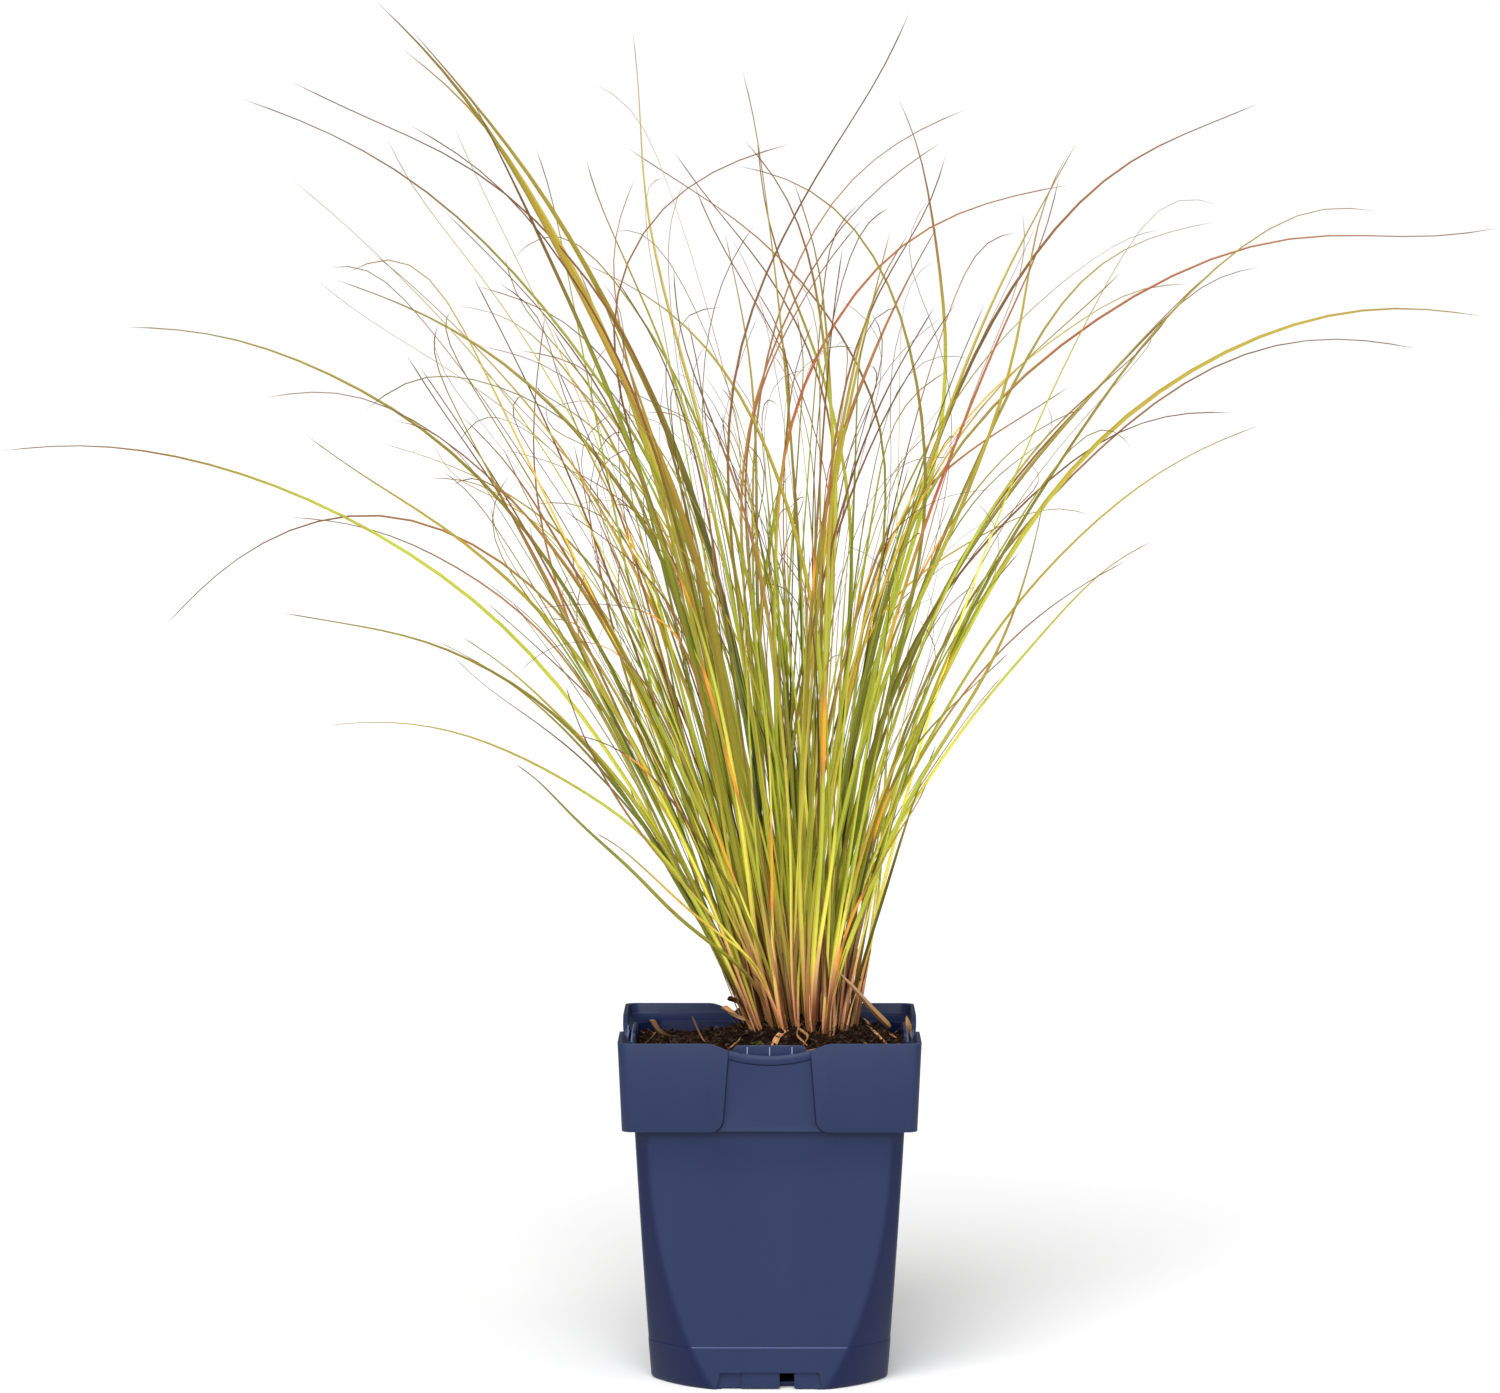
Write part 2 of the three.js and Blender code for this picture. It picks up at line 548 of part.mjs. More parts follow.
/** The soil, with a plain hole for each leafy stem. */
function makeSoil(tillers) {
  const rings = [FLOOR + FIT_GAP, ...BODY_RING_HEIGHTS].map((z) => soilRing(z, 1, false));
  SOIL_RINGS.forEach((share) => rings.push(soilRing(SOIL_WALL_Z, share, true)));
  rings.push([new THREE.Vector3(CROWN_X, CROWN_Y, soilHeight(CROWN_X, CROWN_Y))]);
  let soil = solidOf(loft(rings));
  const wallRoom = block(
    [-BASE_WALL_HALF - FIT_GAP, -FOOT_HALF - OVERCUT, 0],
    [BASE_WALL_HALF + FIT_GAP, -BASE_WALL_INNER + FIT_GAP, BASE_WALL_HEIGHT + FIT_GAP],
  );
  onFourSides(wallRoom).forEach((room) => {
    soil = soil.subtract(room);
  });
  const holes = wasm.Manifold.union(tillers.map((tiller) => solidOf(holeLoft(tiller))));
  return pieceOf('soil', geometryOf(soil.subtract(holes)), 'soil');
}

/** The direction that leans this far from upright towards an azimuth. */
function leaning(lean, azimuth) {
  const across = Math.sin(lean);
  return new THREE.Vector3(across * Math.cos(azimuth), across * Math.sin(azimuth), Math.cos(lean));
}

/** Where a leafy stem stands, and which way it leans. */
function placeTiller(number) {
  const out = Math.sqrt((number + 0.5) / TILLERS);
  const around = number * GOLDEN_ANGLE;
  const x = CROWN_X + CROWN_HALF_X * out * Math.cos(around);
  const y = CROWN_Y + CROWN_HALF_Y * out * Math.sin(around);
  const base = new THREE.Vector3(x, y, soilHeight(x, y));
  const slant = new THREE.Vector2(Math.cos(around), Math.sin(around));
  slant.multiplyScalar(SHEATH_LEAN * out).add(new THREE.Vector2(CLUMP_LEAN, 0));
  const lean = slant.length();
  const azimuth = slant.angle();
  const axis = leaning(lean, azimuth);
  const rise = SHEATH_RISE + SHEATH_RISE_MIDDLE * (1 - out);
  return { number, out, lean, azimuth, base, axis, rise, blades: [] };
}

/** A point on the axis of a leafy stem, height above the soil along it. */
function alongSheath(tiller, height) {
  return tiller.base.clone().addScaledVector(tiller.axis, height);
}

/** Ring round the axis of a leafy stem. */
function sheathRing(tiller, height, radius) {
  const side = new THREE.Vector3(-Math.sin(tiller.azimuth), Math.cos(tiller.azimuth), 0);
  const out = side.clone().cross(tiller.axis);
  const ring = [];
  for (let k = 0; k < SHEATH_SIDES; k += 1) {
    const angle = k / SHEATH_SIDES * FULL_TURN;
    const point = alongSheath(tiller, height).addScaledVector(out, radius * Math.cos(angle));
    ring.push(point.addScaledVector(side, radius * Math.sin(angle)));
  }
  return ring;
}

/** The sheath of a leafy stem, from its foot in the soil to its point. */
function sheathLoft(tiller) {
  return loft([
    sheathRing(tiller, -SHEATH_DEPTH, SHEATH_RADIUS_LOW),
    sheathRing(tiller, tiller.rise * SHEATH_SHOULDER, SHEATH_RADIUS),
    [alongSheath(tiller, tiller.rise + SHEATH_POINT)],
  ]);
}

/** The plain hole in the soil that a leafy stem stands in. */
function holeLoft(tiller) {
  return loft([
    sheathRing(tiller, -SHEATH_DEPTH - FIT_GAP, SHEATH_RADIUS_LOW + HOLE_GAP),
    sheathRing(tiller, tiller.rise * SHEATH_SHOULDER, SHEATH_RADIUS + HOLE_GAP),
  ]);
}

/** The cell of the air grid that holds a point. */
function cellOf(point) {
  return ['x', 'y', 'z'].map((axis, k) => Math.floor((point[axis] - GRID_LOW[k]) / CELL));
}

/** The place of a cell in the air grid. */
function cellIndex([i, j, k]) {
  return (i * GRID_CELLS[1] + j) * GRID_CELLS[2] + k;
}

/** Fills the cells round each point of a line for one leafy stem. */
function claim(line, radii, owner) {
  line.forEach((point, place) => {
    const reach = Math.ceil(radii[place] / CELL);
    const [ci, cj, ck] = cellOf(point);
    for (let i = -reach; i <= reach; i += 1) {
      for (let j = -reach; j <= reach; j += 1) {
        for (let k = -reach; k <= reach; k += 1) {
          if (Math.hypot(i, j, k) * CELL <= radii[place]) {
            const cell = cellIndex([ci + i, cj + j, ck + k]);
            grid[cell] = grid[cell] === 0 || grid[cell] === owner ? owner : SHARED;
          }
        }
      }
    }
  });
}

/** Whether a line meets no other stem, nor its own stem's blades past the root. */
function isFree(line, owner) {
  return line.every((point, place) => {
    const held = grid[cellIndex(cellOf(point))];
    return held === 0 || (held === owner && place * SAMPLE_STEP < OWN_CLEAR_FROM);
  });
}

/** Width of a blade at a share of its length. */
function bladeWidth(width, share) {
  const root = Math.min(1, ROOT_WIDTH + ROOT_WIDENING * share);
  return width * root * Math.pow(1 - Math.pow(share, TAPER_START), TAPER_POWER);
}

/** Places along a curve, closer together towards the tip. */
function stationsOf(points, count) {
  const curve = new THREE.CatmullRomCurve3(points);
  const stations = [];
  for (let k = 0; k <= count; k += 1) {
    stations.push(curve.getPointAt(1 - Math.pow(1 - k / count, TIP_CROWDING)));
  }
  return stations;
}

/** Points close together along straight stretches between stations. */
function sampleLine(stations) {
  const line = [];
  for (let k = 0; k + 1 < stations.length; k += 1) {
    const steps = Math.ceil(stations[k].distanceTo(stations[k + 1]) / SAMPLE_STEP);
    for (let step = 0; step < steps; step += 1) {
      line.push(stations[k].clone().lerp(stations[k + 1], step / steps));
    }
  }
  return line;
}

/** The root of a new blade: inside the sheath, then a little way out of it. */
function rootPoints(tiller, towards) {
  const turn = tiller.blades.length;
  const start = alongSheath(tiller, tiller.rise * (ROOT_LOW + ROOT_STEP * turn));
  const chord = towards.clone().sub(start).normalize();
  const heading = tiller.axis.clone().lerp(chord, ROOT_TURN).normalize();
  const fan = turn * GOLDEN_ANGLE;
  const spread = new THREE.Vector3(Math.cos(fan), Math.sin(fan), 0);
  start.addScaledVector(spread, ROOT_SPREAD_LOW);
  const next = start.clone().addScaledVector(heading, ROOT_HEADING);
  return [start, next.addScaledVector(spread, ROOT_SPREAD)];
}

/** Keeps a blade if its way is free. */
function tryBlade(tiller, points, width, count) {
  const stations = stationsOf(points, count);
  const line = sampleLine(stations);
  if (!isFree(line, tiller.number + 1)) {
    return false;
  }
  const radii = line.map((_, place) => {
    return bladeWidth(width, place / line.length) / 2 + OTHER_HALF_WIDTH;
  });
  claim(line, radii, tiller.number + 1);
  const twist = draw(BLADE_TWIST) * drawSide();
  tiller.blades.push({ stations, width, twist });
  return true;
}

/** Moves places seen on the plane Y = 0 to the depths that the blade has there. */
function setBack(seen, startDepth, tipDepth) {
  const lengths = [Math.hypot(seen[0][0] - CROWN_X, seen[0][1] - SOIL_WALL_Z)];
  for (let k = 1; k < seen.length; k += 1) {
    const step = Math.hypot(seen[k][0] - seen[k - 1][0], seen[k][1] - seen[k - 1][1]);
    lengths.push(lengths[k - 1] + step);
  }
  return seen.map(([x, z], k) => {
    const share = lengths[k] / lengths[seen.length - 1];
    const depth = startDepth + (tipDepth - startDepth) * Math.pow(share, DEPTH_POWER);
    const point = new THREE.Vector3(x, 0, z);
    return point.sub(EYE).multiplyScalar(1 - depth / EYE.y).add(EYE);
  });
}

/** The stems with room, nearest first to where a blade through this point would rise. */
function stemsFor(tillers, point) {
  const away = new THREE.Vector2(point.x - CROWN_X, point.y - CROWN_Y);
  const slope = away.length() / (point.z - SOIL_WALL_Z);
  away.normalize().multiplyScalar(Math.min(1, slope / OUTERMOST_SLOPE));
  const rise = new THREE.Vector2(CROWN_X + CROWN_HALF_X * away.x, CROWN_Y + CROWN_HALF_Y * away.y);
  const open = tillers.filter((tiller) => tiller.blades.length < SEEN_PER_TILLER);
  return open.sort((a, b) => rise.distanceTo(a.base) - rise.distanceTo(b.base));
}

/** Grows the blades that are copied one by one. */
function growSeenBlades(tillers) {
  for (const seen of SEEN_BLADES) {
    const aside = Math.abs(seen[seen.length - 1][0] - CROWN_X);
    const width = draw(BLADE_WIDTH);
    let kept = false;
    for (let attempt = 0; attempt < SEEN_TRIES && !kept; attempt += 1) {
      const reach = PLANT_REACH * draw(REACH_SHARE);
      const spare = Math.sqrt(Math.max(0, reach * reach - aside * aside));
      const side = drawSide();
      const tipDepth = side * Math.max(spare * TIP_DEPTH_SHARE, draw(TIP_DEPTH_LEAST));
      const places = setBack(seen, side * START_DEPTH, tipDepth);
      const tiller = stemsFor(tillers, places[0])[Math.floor(attempt / TRIES_PER_STEM)];
      const points = [...rootPoints(tiller, places[0]), ...places];
      kept = tryBlade(tiller, points, width, seen.length + EXTRA_STATIONS);
    }
  }
}

/** Points of a blade that arches over from a stem by an even rule. */
function archedPoints(tiller) {
  const fan = ARCH_FAN + ARCH_FAN_MIDDLE * (1 - tiller.out);
  const azimuth = tiller.azimuth + draw([-fan, fan]);
  const length = draw(ARCH_LENGTH);
  const leanLow = tiller.lean + draw(ARCH_LEAN);
  const leanTip = leanLow + draw(ARCH_DROOP) * length / ARCH_DROOP_LENGTH;
  const sway = draw(ARCH_SWAY);
  const points = [];
  const place = rootPoints(tiller, alongSheath(tiller, ARCH_AIM))[1];
  for (let k = 0; k < ARCH_PIECES; k += 1) {
    const share = (k + 0.5) / ARCH_PIECES;
    const lean = leanLow + (leanTip - leanLow) * Math.pow(share, ARCH_DROOP_POWER);
    const heading = azimuth + sway * share;
    place.addScaledVector(leaning(lean, heading), length / ARCH_PIECES);
    points.push(place.clone());
  }
  return points;
}

/** Whether points seen from the eye lie between the sides of the tuft. */
function withinSides(points) {
  return points.every((point) => {
    const seen = point.clone().sub(EYE).multiplyScalar(EYE.y / (EYE.y - point.y)).add(EYE);
    const above = TUFT_SIDES.findIndex(([z]) => z >= seen.z);
    if (above < 1) {
      return above === 0;
    }
    const [low, high] = [TUFT_SIDES[above - 1], TUFT_SIDES[above]];
    const share = (seen.z - low[0]) / (high[0] - low[0]);
    const [left, right] = [1, 2].map((side) => low[side] + (high[side] - low[side]) * share);
    return seen.x > left && seen.x < right;
  });
}

/** Fills up each stem with the shorter blades that make the tuft dense. */
function growHiddenBlades(tillers) {
  for (let round = 0; round < BLADES_PER_TILLER; round += 1) {
    for (const tiller of tillers) {
      let kept = tiller.blades.length >= BLADES_PER_TILLER;
      for (let attempt = 0; attempt < ARCH_TRIES && !kept; attempt += 1) {
        const arch = archedPoints(tiller);
        const points = [...rootPoints(tiller, arch[1]), ...arch];
        const span = arch[ARCH_PIECES - 1].distanceTo(points[0]);
        const count = Math.round(span / STATION_STRIDE) + 1;
        kept = withinSides(arch) && tryBlade(tiller, points, draw(BLADE_WIDTH), count);
      }
    }
  }
}

/** The closed, keeled solid of one blade. */
function bladeLoft({ stations, width, twist }) {
  const last = stations.length - 1;
  const run = stations[last].clone().sub(stations[0]);
  const across = new THREE.Vector3(-run.y, run.x, 0).normalize();
  const rings = stations.slice(0, last).map((point, k) => {
    const tangent = stations[k + 1].clone().sub(stations[Math.max(0, k - 1)]).normalize();
    const up = tangent.clone().cross(across).normalize();
    const turn = twist * (TWIST_AT_ROOT + (1 - TWIST_AT_ROOT) * k / last);
    const face = up.clone().applyAxisAngle(tangent, turn);
    const flat = face.clone().cross(tangent);
    const wide = Math.max(BLADE_THINNEST, bladeWidth(width, k / last));
    const thick = Math.max(BLADE_THINNEST, wide * BLADE_KEEL);
    const keel = point.clone().addScaledVector(face, -thick * KEEL_BELOW_EDGES);
    const middle = keel.clone().addScaledVector(face, thick);
    return [
      middle.clone().addScaledVector(flat, -wide / 2),
      keel,
      middle.clone().addScaledVector(flat, wide / 2),
    ];
  });
  return loft([...rings, [stations[last]]]);
}

/** A leafy stem: its sheath and blades as one body. */
function makeTiller(tiller) {
  const parts = [solidOf(sheathLoft(tiller))];
  tiller.blades.forEach((blade) => parts.push(solidOf(bladeLoft(blade))));
  const name = `tiller_${String(tiller.number + 1).padStart(2, '0')}`;
  const finish = LEAF_FINISHES[tiller.number % LEAF_FINISHES.length];
  return pieceOf(name, geometryOf(wasm.Manifold.union(parts)), finish);
}

/** A dead leaf end that lies on the soil. */
function makeStraw({ from, to, bow, width }, number) {
  const start = new THREE.Vector2(...from);
  const run = new THREE.Vector2(...to).sub(start);
  const aside = new THREE.Vector2(-run.y, run.x).normalize();
  const rings = [];
  for (let k = 0; k <= STRAW_STEPS; k += 1) {
    const share = k / STRAW_STEPS;
    const middle = start.clone().add(run.clone().multiplyScalar(share));
    middle.addScaledVector(aside, bow * Math.sin(Math.PI * share));
    const half = width / 2 * (1 - STRAW_TAPER * share);
    const left = middle.clone().addScaledVector(aside, half);
    const right = middle.clone().addScaledVector(aside, -half);
    const low = soilHeight(middle.x, middle.y) + STRAW_LIFT;
    rings.push([
      new THREE.Vector3(left.x, left.y, low),
      new THREE.Vector3(left.x, left.y, low + STRAW_THICK),
      new THREE.Vector3(right.x, right.y, low + STRAW_THICK),
      new THREE.Vector3(right.x, right.y, low),
    ]);
  }
  return pieceOf(`dry_straw_${number + 1}`, loft(rings), 'dry_straw');
}

const tillers = Array.from({ length: TILLERS }, (_, number) => placeTiller(number));
tillers.forEach((tiller) => {
  const stem = sampleLine([alongSheath(tiller, 0), alongSheath(tiller, tiller.rise + SHEATH_POINT)]);
  claim(stem, stem.map(() => SHEATH_RADIUS + SHEATH_CLEARANCE), tiller.number + 1);
});
growSeenBlades(tillers);
growHiddenBlades(tillers);

const sedge = new THREE.Group();
sedge.add(makePot());
sedge.add(makeSoil(tillers));
tillers.forEach((tiller) => sedge.add(makeTiller(tiller)));
DRY_STRAWS.forEach((straw, number) => sedge.add(makeStraw(straw, number)));

export default sedge;
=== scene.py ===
"""Potted orange-leaved sedge: folded leaves, husks, soil and litter, and a square nursery pot."""

import math
import random
from contextlib import contextmanager

import bpy
import numpy as np
from bpy.props import FloatProperty, FloatVectorProperty, IntProperty, PointerProperty
from bpy.types import Operator, Panel, PropertyGroup
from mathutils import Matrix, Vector, noise


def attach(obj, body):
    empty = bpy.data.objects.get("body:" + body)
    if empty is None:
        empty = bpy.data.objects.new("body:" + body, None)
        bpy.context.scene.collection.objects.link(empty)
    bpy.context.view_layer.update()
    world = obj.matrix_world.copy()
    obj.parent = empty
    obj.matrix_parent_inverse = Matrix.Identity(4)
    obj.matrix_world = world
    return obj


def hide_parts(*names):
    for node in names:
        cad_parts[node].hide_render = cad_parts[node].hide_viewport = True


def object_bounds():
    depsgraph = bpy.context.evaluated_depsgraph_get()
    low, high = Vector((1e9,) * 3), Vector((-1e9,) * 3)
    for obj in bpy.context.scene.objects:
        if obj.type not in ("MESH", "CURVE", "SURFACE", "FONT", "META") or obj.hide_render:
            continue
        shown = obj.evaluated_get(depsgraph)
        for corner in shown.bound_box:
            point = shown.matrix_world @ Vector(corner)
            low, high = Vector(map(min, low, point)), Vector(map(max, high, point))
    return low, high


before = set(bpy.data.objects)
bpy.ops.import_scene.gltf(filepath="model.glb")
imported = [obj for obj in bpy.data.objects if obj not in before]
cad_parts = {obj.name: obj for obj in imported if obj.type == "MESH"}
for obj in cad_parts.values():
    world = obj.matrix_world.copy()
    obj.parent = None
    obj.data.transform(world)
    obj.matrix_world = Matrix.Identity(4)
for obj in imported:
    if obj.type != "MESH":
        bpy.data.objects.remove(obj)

bl_info = {
    "name": "Potted Sedge",
    "version": (1, 0, 0),
    "blender": (4, 5, 0),
    "location": "3D View > Sidebar > Sedge",
    "description": "Builds a tufted sedge in its nursery pot",
    "category": "Add Mesh",
}

MM = 0.001
FULL_TURN = 2 * math.pi
QUARTER_TURN = math.pi / 2
GOLDEN_ANGLE = math.pi * (3 - math.sqrt(5))
BLACK, WHITE = (0, 0, 0), (1, 1, 1)
CAD_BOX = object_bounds()
STEMS = sorted(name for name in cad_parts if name.startswith("tiller_"))

# Names of leaf finishes, picked for the stems in turn.
LEAF_SLOTS = ("leaf_green", "leaf_olive", "leaf_bronze", "leaf_gold")

# The photograph's eye: how far in front of the plant and how high above the floor, in metres.
EYE = np.array([0, -2.41, 0.502])
CAMERA_LENS = 123.36
CAMERA_SENSOR = 36
CAMERA_PITCH = math.radians(90 - 4.35)
CAMERA_YAW = math.radians(0.22)

# Soft lights: where each one stands in metres, and how wide it looks in degrees.
LIGHTS = {"key": ((-0.45, -1.9, 1.5), 50), "fill": ((1.1, -1.6, 0.9), 60)}
FLOOR_SIZE = 40

# Colours along a leaf of each tone, one for each of the stages below.
TONES = {
    "lime": "root sheath lime lime green olive bronze",
    "green": "rust husk lime green green olive bronze",
    "olive": "root lime green green olive olive bronze",
    "moss": "rust green moss moss olive olive bronze",
    "gold": "gold gold lime gold gold olive bronze",
    "bronze": "rust sheath lime green green bronze thread",
    "copper": "root husk green green bronze copper thread",
    "scarlet": "scarlet husk green green scarlet copper thread",
    "thread": "root sheath lime olive copper thread thread",
    "dead": "rust rust husk rust copper husk thread",
    "husk": "rust husk husk husk husk husk sheath",
    "chaff": "rust chaff chaff husk chaff chaff sheath",
    "rust": "rust rust rust husk rust rust rust",
    "straw": "straw straw straw straw straw straw straw",
}
HUSK_TONES = ("husk", "chaff", "rust", "rust")
DRY_TONES = ("straw", "dead", *HUSK_TONES)

# Stages of a leaf: 0 at its foot, FOOT_STAGE where its brown foot ends, 1 at its tip. Its
# very foot is the first colour, blended this far to black.
FOOT_STAGE = 0.2
LEAF_STAGES = (0.12, FOOT_STAGE, 0.29, 0.5, 0.68, 0.86, 1)
FOOT_DARKNESS = 0.8

# What is left of a leaf's colour by its own tint and painted shade, from the deepest to the palest
# leaf (a random darkness that paints shade deep in the clump), by the painted shade on its shaded
# half, and under the dark strands of its brown foot.
TINT_AND_SHADE_STOPS = ((0, (0.16, 0.17, 0.12)), (0.34, (0.58, 0.58, 0.44)), (0.52, (1, 0.98, 0.9)), (1, WHITE))
SHADED_HALF = (0.68, 0.78, 0.5)
DRY_SHADED_HALF = (0.7, 0.62, 0.56)
STRAND_SHADE = (0.42, 0.28, 0.2)

# Blade: rings along it, closer together towards its tip, and its folded section of left edge,
# keel, right edge and groove, as shares of the width.
BLADE_RINGS = 28
RING_CROWDING = 1.15
LINE_SMOOTHING = 5
CURVE_STEPS = 240
BLADE_SECTION = ((-0.5, 0.16), (0, -0.2), (0.5, 0.16), (0, -0.06))

# A leaf's width: the share it starts with, how soon it is full, and how blunt its tip is. Its
# thinnest is in millimetres.
FOOT_SHARE = 0.6
WIDENING = 7
TIP_BLUNTNESS = 0.75
FINEST_TIP = 0.5

# How a leaf turns about its own line: at its foot, and from there to its tip, in radians.
LEAF_TWIST = (0.1, 0.9)
LEAF_TURN = (0.2, 1.6)

# Where each kind of leaf starts to narrow: 1 is at its foot, and more is nearer to its tip.
SEEN_TAPER = 2.6
OTHER_TAPER = 1
COMPANION_TAPER = 1.3
THREAD_TAPER = 1.5
HUSK_TAPER = 1.15
STRAW_TAPER = 3

# Length of the brown foot of each kind of leaf, in metres.
LEAF_BROWN = (0.032, 0.065)
THREAD_BROWN = 0.06
HUSK_BROWN = 0.006
LITTER_BROWN = 0.001

# Where a leaf leaves its stem: distances from the stem's line and up along it, in metres.
LEAF_FOOT_AWAY = 0.0011
LEAF_FOOT_RISE = 0.03
LEAF_FOOT_PARTING = 0.6

# Companions: share of the length of the leaf beside it, how far one may turn from it in
# radians, and how far its two ends may part from it, in millimetres.
COMPANION_LENGTH = (0.4, 0.8)
COMPANION_TURN = 0.3
COMPANION_START = 1
COMPANION_PARTING = 3
COMPANION_POINTS = 9

# Hair-fine old leaves: length in metres, width and scatter in millimetres, then their heading,
# the share of the stem's lean that they take, and their bend and curl in radians.
THREAD_LENGTH = (0.16, 0.42)
THREAD_WIDTH = (0.5, 1.1)
THREAD_SCATTER = 1.2
THREAD_HEADING = 0.9
THREAD_LEAN = (0.4, 1)
THREAD_BEND = (-0.1, 0.7)
THREAD_CURL = (0.4, 2.6)
THREAD_CURL_FROM = 0.55
THREAD_PIECES = 9

# Dry curl at a leaf's end: its steps, the turn of each in radians, and their length in millimetres.
CURL_STEPS = 5
CURL_TURN = (0.08, 0.42)
CURL_STEP = (4, 9)

# Dead sheaths: share of the longest one's length, width in millimetres, how far one lies off
# its leaf, and how far its end may part from it, in metres.
HUSK_LENGTH = (0.3, 1)
HUSK_WIDTH = (1.5, 3.2)
HUSK_GAP = 0.0016
HUSK_PARTING = 0.007
HUSK_POINTS = 5

# Leaves seen clearly from the front: where each tip shows on the plane Y = 0,
# in millimetres, then its tone and its width.
SEEN_LEAVES = (
    (-361, 434, "bronze", 2.2), (-301, 492, "olive", 2.3), (-236, 459, "thread", 1.1),
    (-218, 442, "olive", 2.6), (-284, 352, "thread", 1.5), (-225, 403, "thread", 1.2),
    (-203, 514, "olive", 2.9), (-147, 502, "moss", 2.6), (-170, 479, "thread", 1.6),
    (-183, 438, "olive", 2.2), (-144, 450, "copper", 2.2), (-137, 475, "copper", 1.3),
    (-105, 498, "thread", 1.3), (-126, 435, "thread", 1.0), (-135, 483, "thread", 1.0),
    (-117, 481, "thread", 0.9), (-101, 476, "thread", 1.1), (-110, 360, "thread", 1.0),
    (-92, 438, "copper", 1.7), (-98, 407, "thread", 1.0), (-229, 358, "olive", 2.0),
    (-149, 338, "copper", 1.9), (-208, 305, "olive", 2.4), (-157, 345, "moss", 2.6),
    (-145, 347, "olive", 2.2), (-133, 363, "thread", 1.1), (-118, 330, "thread", 1.0),
    (-120, 287, "lime", 2.2), (-82, 254, "gold", 1.6), (-67, 279, "copper", 1.5),
    (-93, 301, "thread", 1.0), (-96, 324, "thread", 1.2), (-183, 643, "gold", 4.4),
    (-167, 630, "moss", 4.2), (-140, 599, "bronze", 3.8), (-171, 621, "olive", 3.6),
    (-223, 606, "thread", 1.5), (-168, 586, "thread", 1.2), (-246, 598, "bronze", 2.0),
    (-152, 546, "thread", 1.3), (-137, 511, "thread", 1.1), (-64, 630, "olive", 2.6),
    (-63, 561, "copper", 1.8), (9, 577, "copper", 1.7), (-88, 522, "olive", 2.6),
    (-45, 520, "thread", 1.5), (-66, 575, "copper", 1.3), (-45, 574, "thread", 1.2),
    (-73, 516, "thread", 1.1), (65, 638, "thread", 1.5), (60, 598, "bronze", 3.1),
    (91, 593, "copper", 1.6), (80, 578, "thread", 1.3), (-15, 567, "olive", 2.7),
    (-6, 582, "bronze", 2.4), (-12, 579, "gold", 2.6), (11, 560, "gold", 2.2),
    (139, 558, "scarlet", 2.2), (82, 572, "thread", 1.4), (79, 540, "copper", 3.2),
    (65, 536, "olive", 2.8), (-21, 536, "olive", 2.5), (-8, 511, "bronze", 2.8),
    (43, 542, "copper", 1.8), (34, 529, "thread", 1.2), (81, 497, "thread", 1.0),
    (228, 596, "copper", 2.4), (208, 541, "olive", 2.6), (138, 571, "olive", 2.6),
    (135, 562, "thread", 1.5), (283, 546, "olive", 2.2), (340, 538, "scarlet", 1.9),
    (229, 520, "thread", 1.3), (195, 512, "gold", 1.6), (333, 497, "olive", 3.3),
    (302, 482, "thread", 1.6), (216, 452, "thread", 1.2), (229, 446, "olive", 1.8),
    (180, 392, "lime", 2.0), (168, 383, "thread", 1.2), (151, 404, "gold", 1.8),
    (128, 409, "olive", 2.6), (204, 516, "olive", 2.8), (188, 499, "bronze", 2.0),
    (140, 464, "copper", 2.4), (149, 455, "olive", 1.6), (97, 372, "scarlet", 1.3),
    (109, 416, "thread", 1.2), (113, 340, "moss", 1.4), (74, 278, "gold", 1.5),
)

# A CAD blade is one of them if its tip shows this near, in metres. The leaf then has a share of
# the width above, between two limits in millimetres, has no deeper tint and painted shade than a
# level, and turns less.
SEEN_TIP_REACH = 0.009
SEEN_WIDTH_SHARE = 0.85
THINNEST_SEEN = 1.4
WIDEST_SEEN = 4.6
SEEN_TINT_AND_SHADE = 0.18
SEEN_TWIST_SHARE = 0.5
SEEN_TURN_SHARE = 0.4

# The other leaves: share of each tone, and range of width in millimetres.
OTHER_TONES = (
    ("lime", 0.25, 1.8, 3.2), ("green", 0.22, 1.8, 3.1), ("olive", 0.12, 1.7, 2.9),
    ("moss", 0.06, 1.6, 2.8), ("gold", 0.12, 1.6, 2.8), ("bronze", 0.09, 1.5, 2.5),
    ("copper", 0.06, 1.4, 2.3), ("scarlet", 0.02, 1.4, 2.3), ("dead", 0.06, 1.4, 2.2),
)

# Places on the plane Y = 0 where a leaf shows a vivid orange flush, each with the half length
# that the flush has there, in millimetres.
FLUSHES = (
    (-13, 285, 26), (29, 300, 34), (-58, 290, 22), (5, 235, 40), (52, 262, 24),
    (-62, 392, 16), (-46, 355, 24), (-2, 352, 22), (62, 345, 22), (40, 215, 26),
    (-33, 372, 22), (88, 330, 16), (76, 380, 20), (-96, 300, 14), (33, 190, 20),
    (18, 380, 18), (-74, 345, 18), (44, 372, 16), (-17, 248, 30), (-30, 320, 20),
)

# How near to such a place a leaf must show, in metres, the share of the half length that is
# used, and the steps in which a leaf is searched.
FLUSH_REACH = 0.007
FLUSH_LENGTH = 0.75
FLUSH_STEPS = 60

# Crown of the plant and the soil round it, in metres: a mound, a heap on either side of it, and
# ripples as (height, radians a metre along X and along Y, start).
CROWN = np.array([0.014, 0])
SOIL_WALL_Z = 0.151
SOIL_MOUND = 0.0155
SOIL_MOUND_SPREAD = 0.036
HEAP = 0.0035
HEAP_RADIUS = 0.031
HEAP_SPREAD = 0.009
SOIL_RIPPLES = ((0.8 * MM, 130, 50, 1), (0.6 * MM, 70, -150, 0))

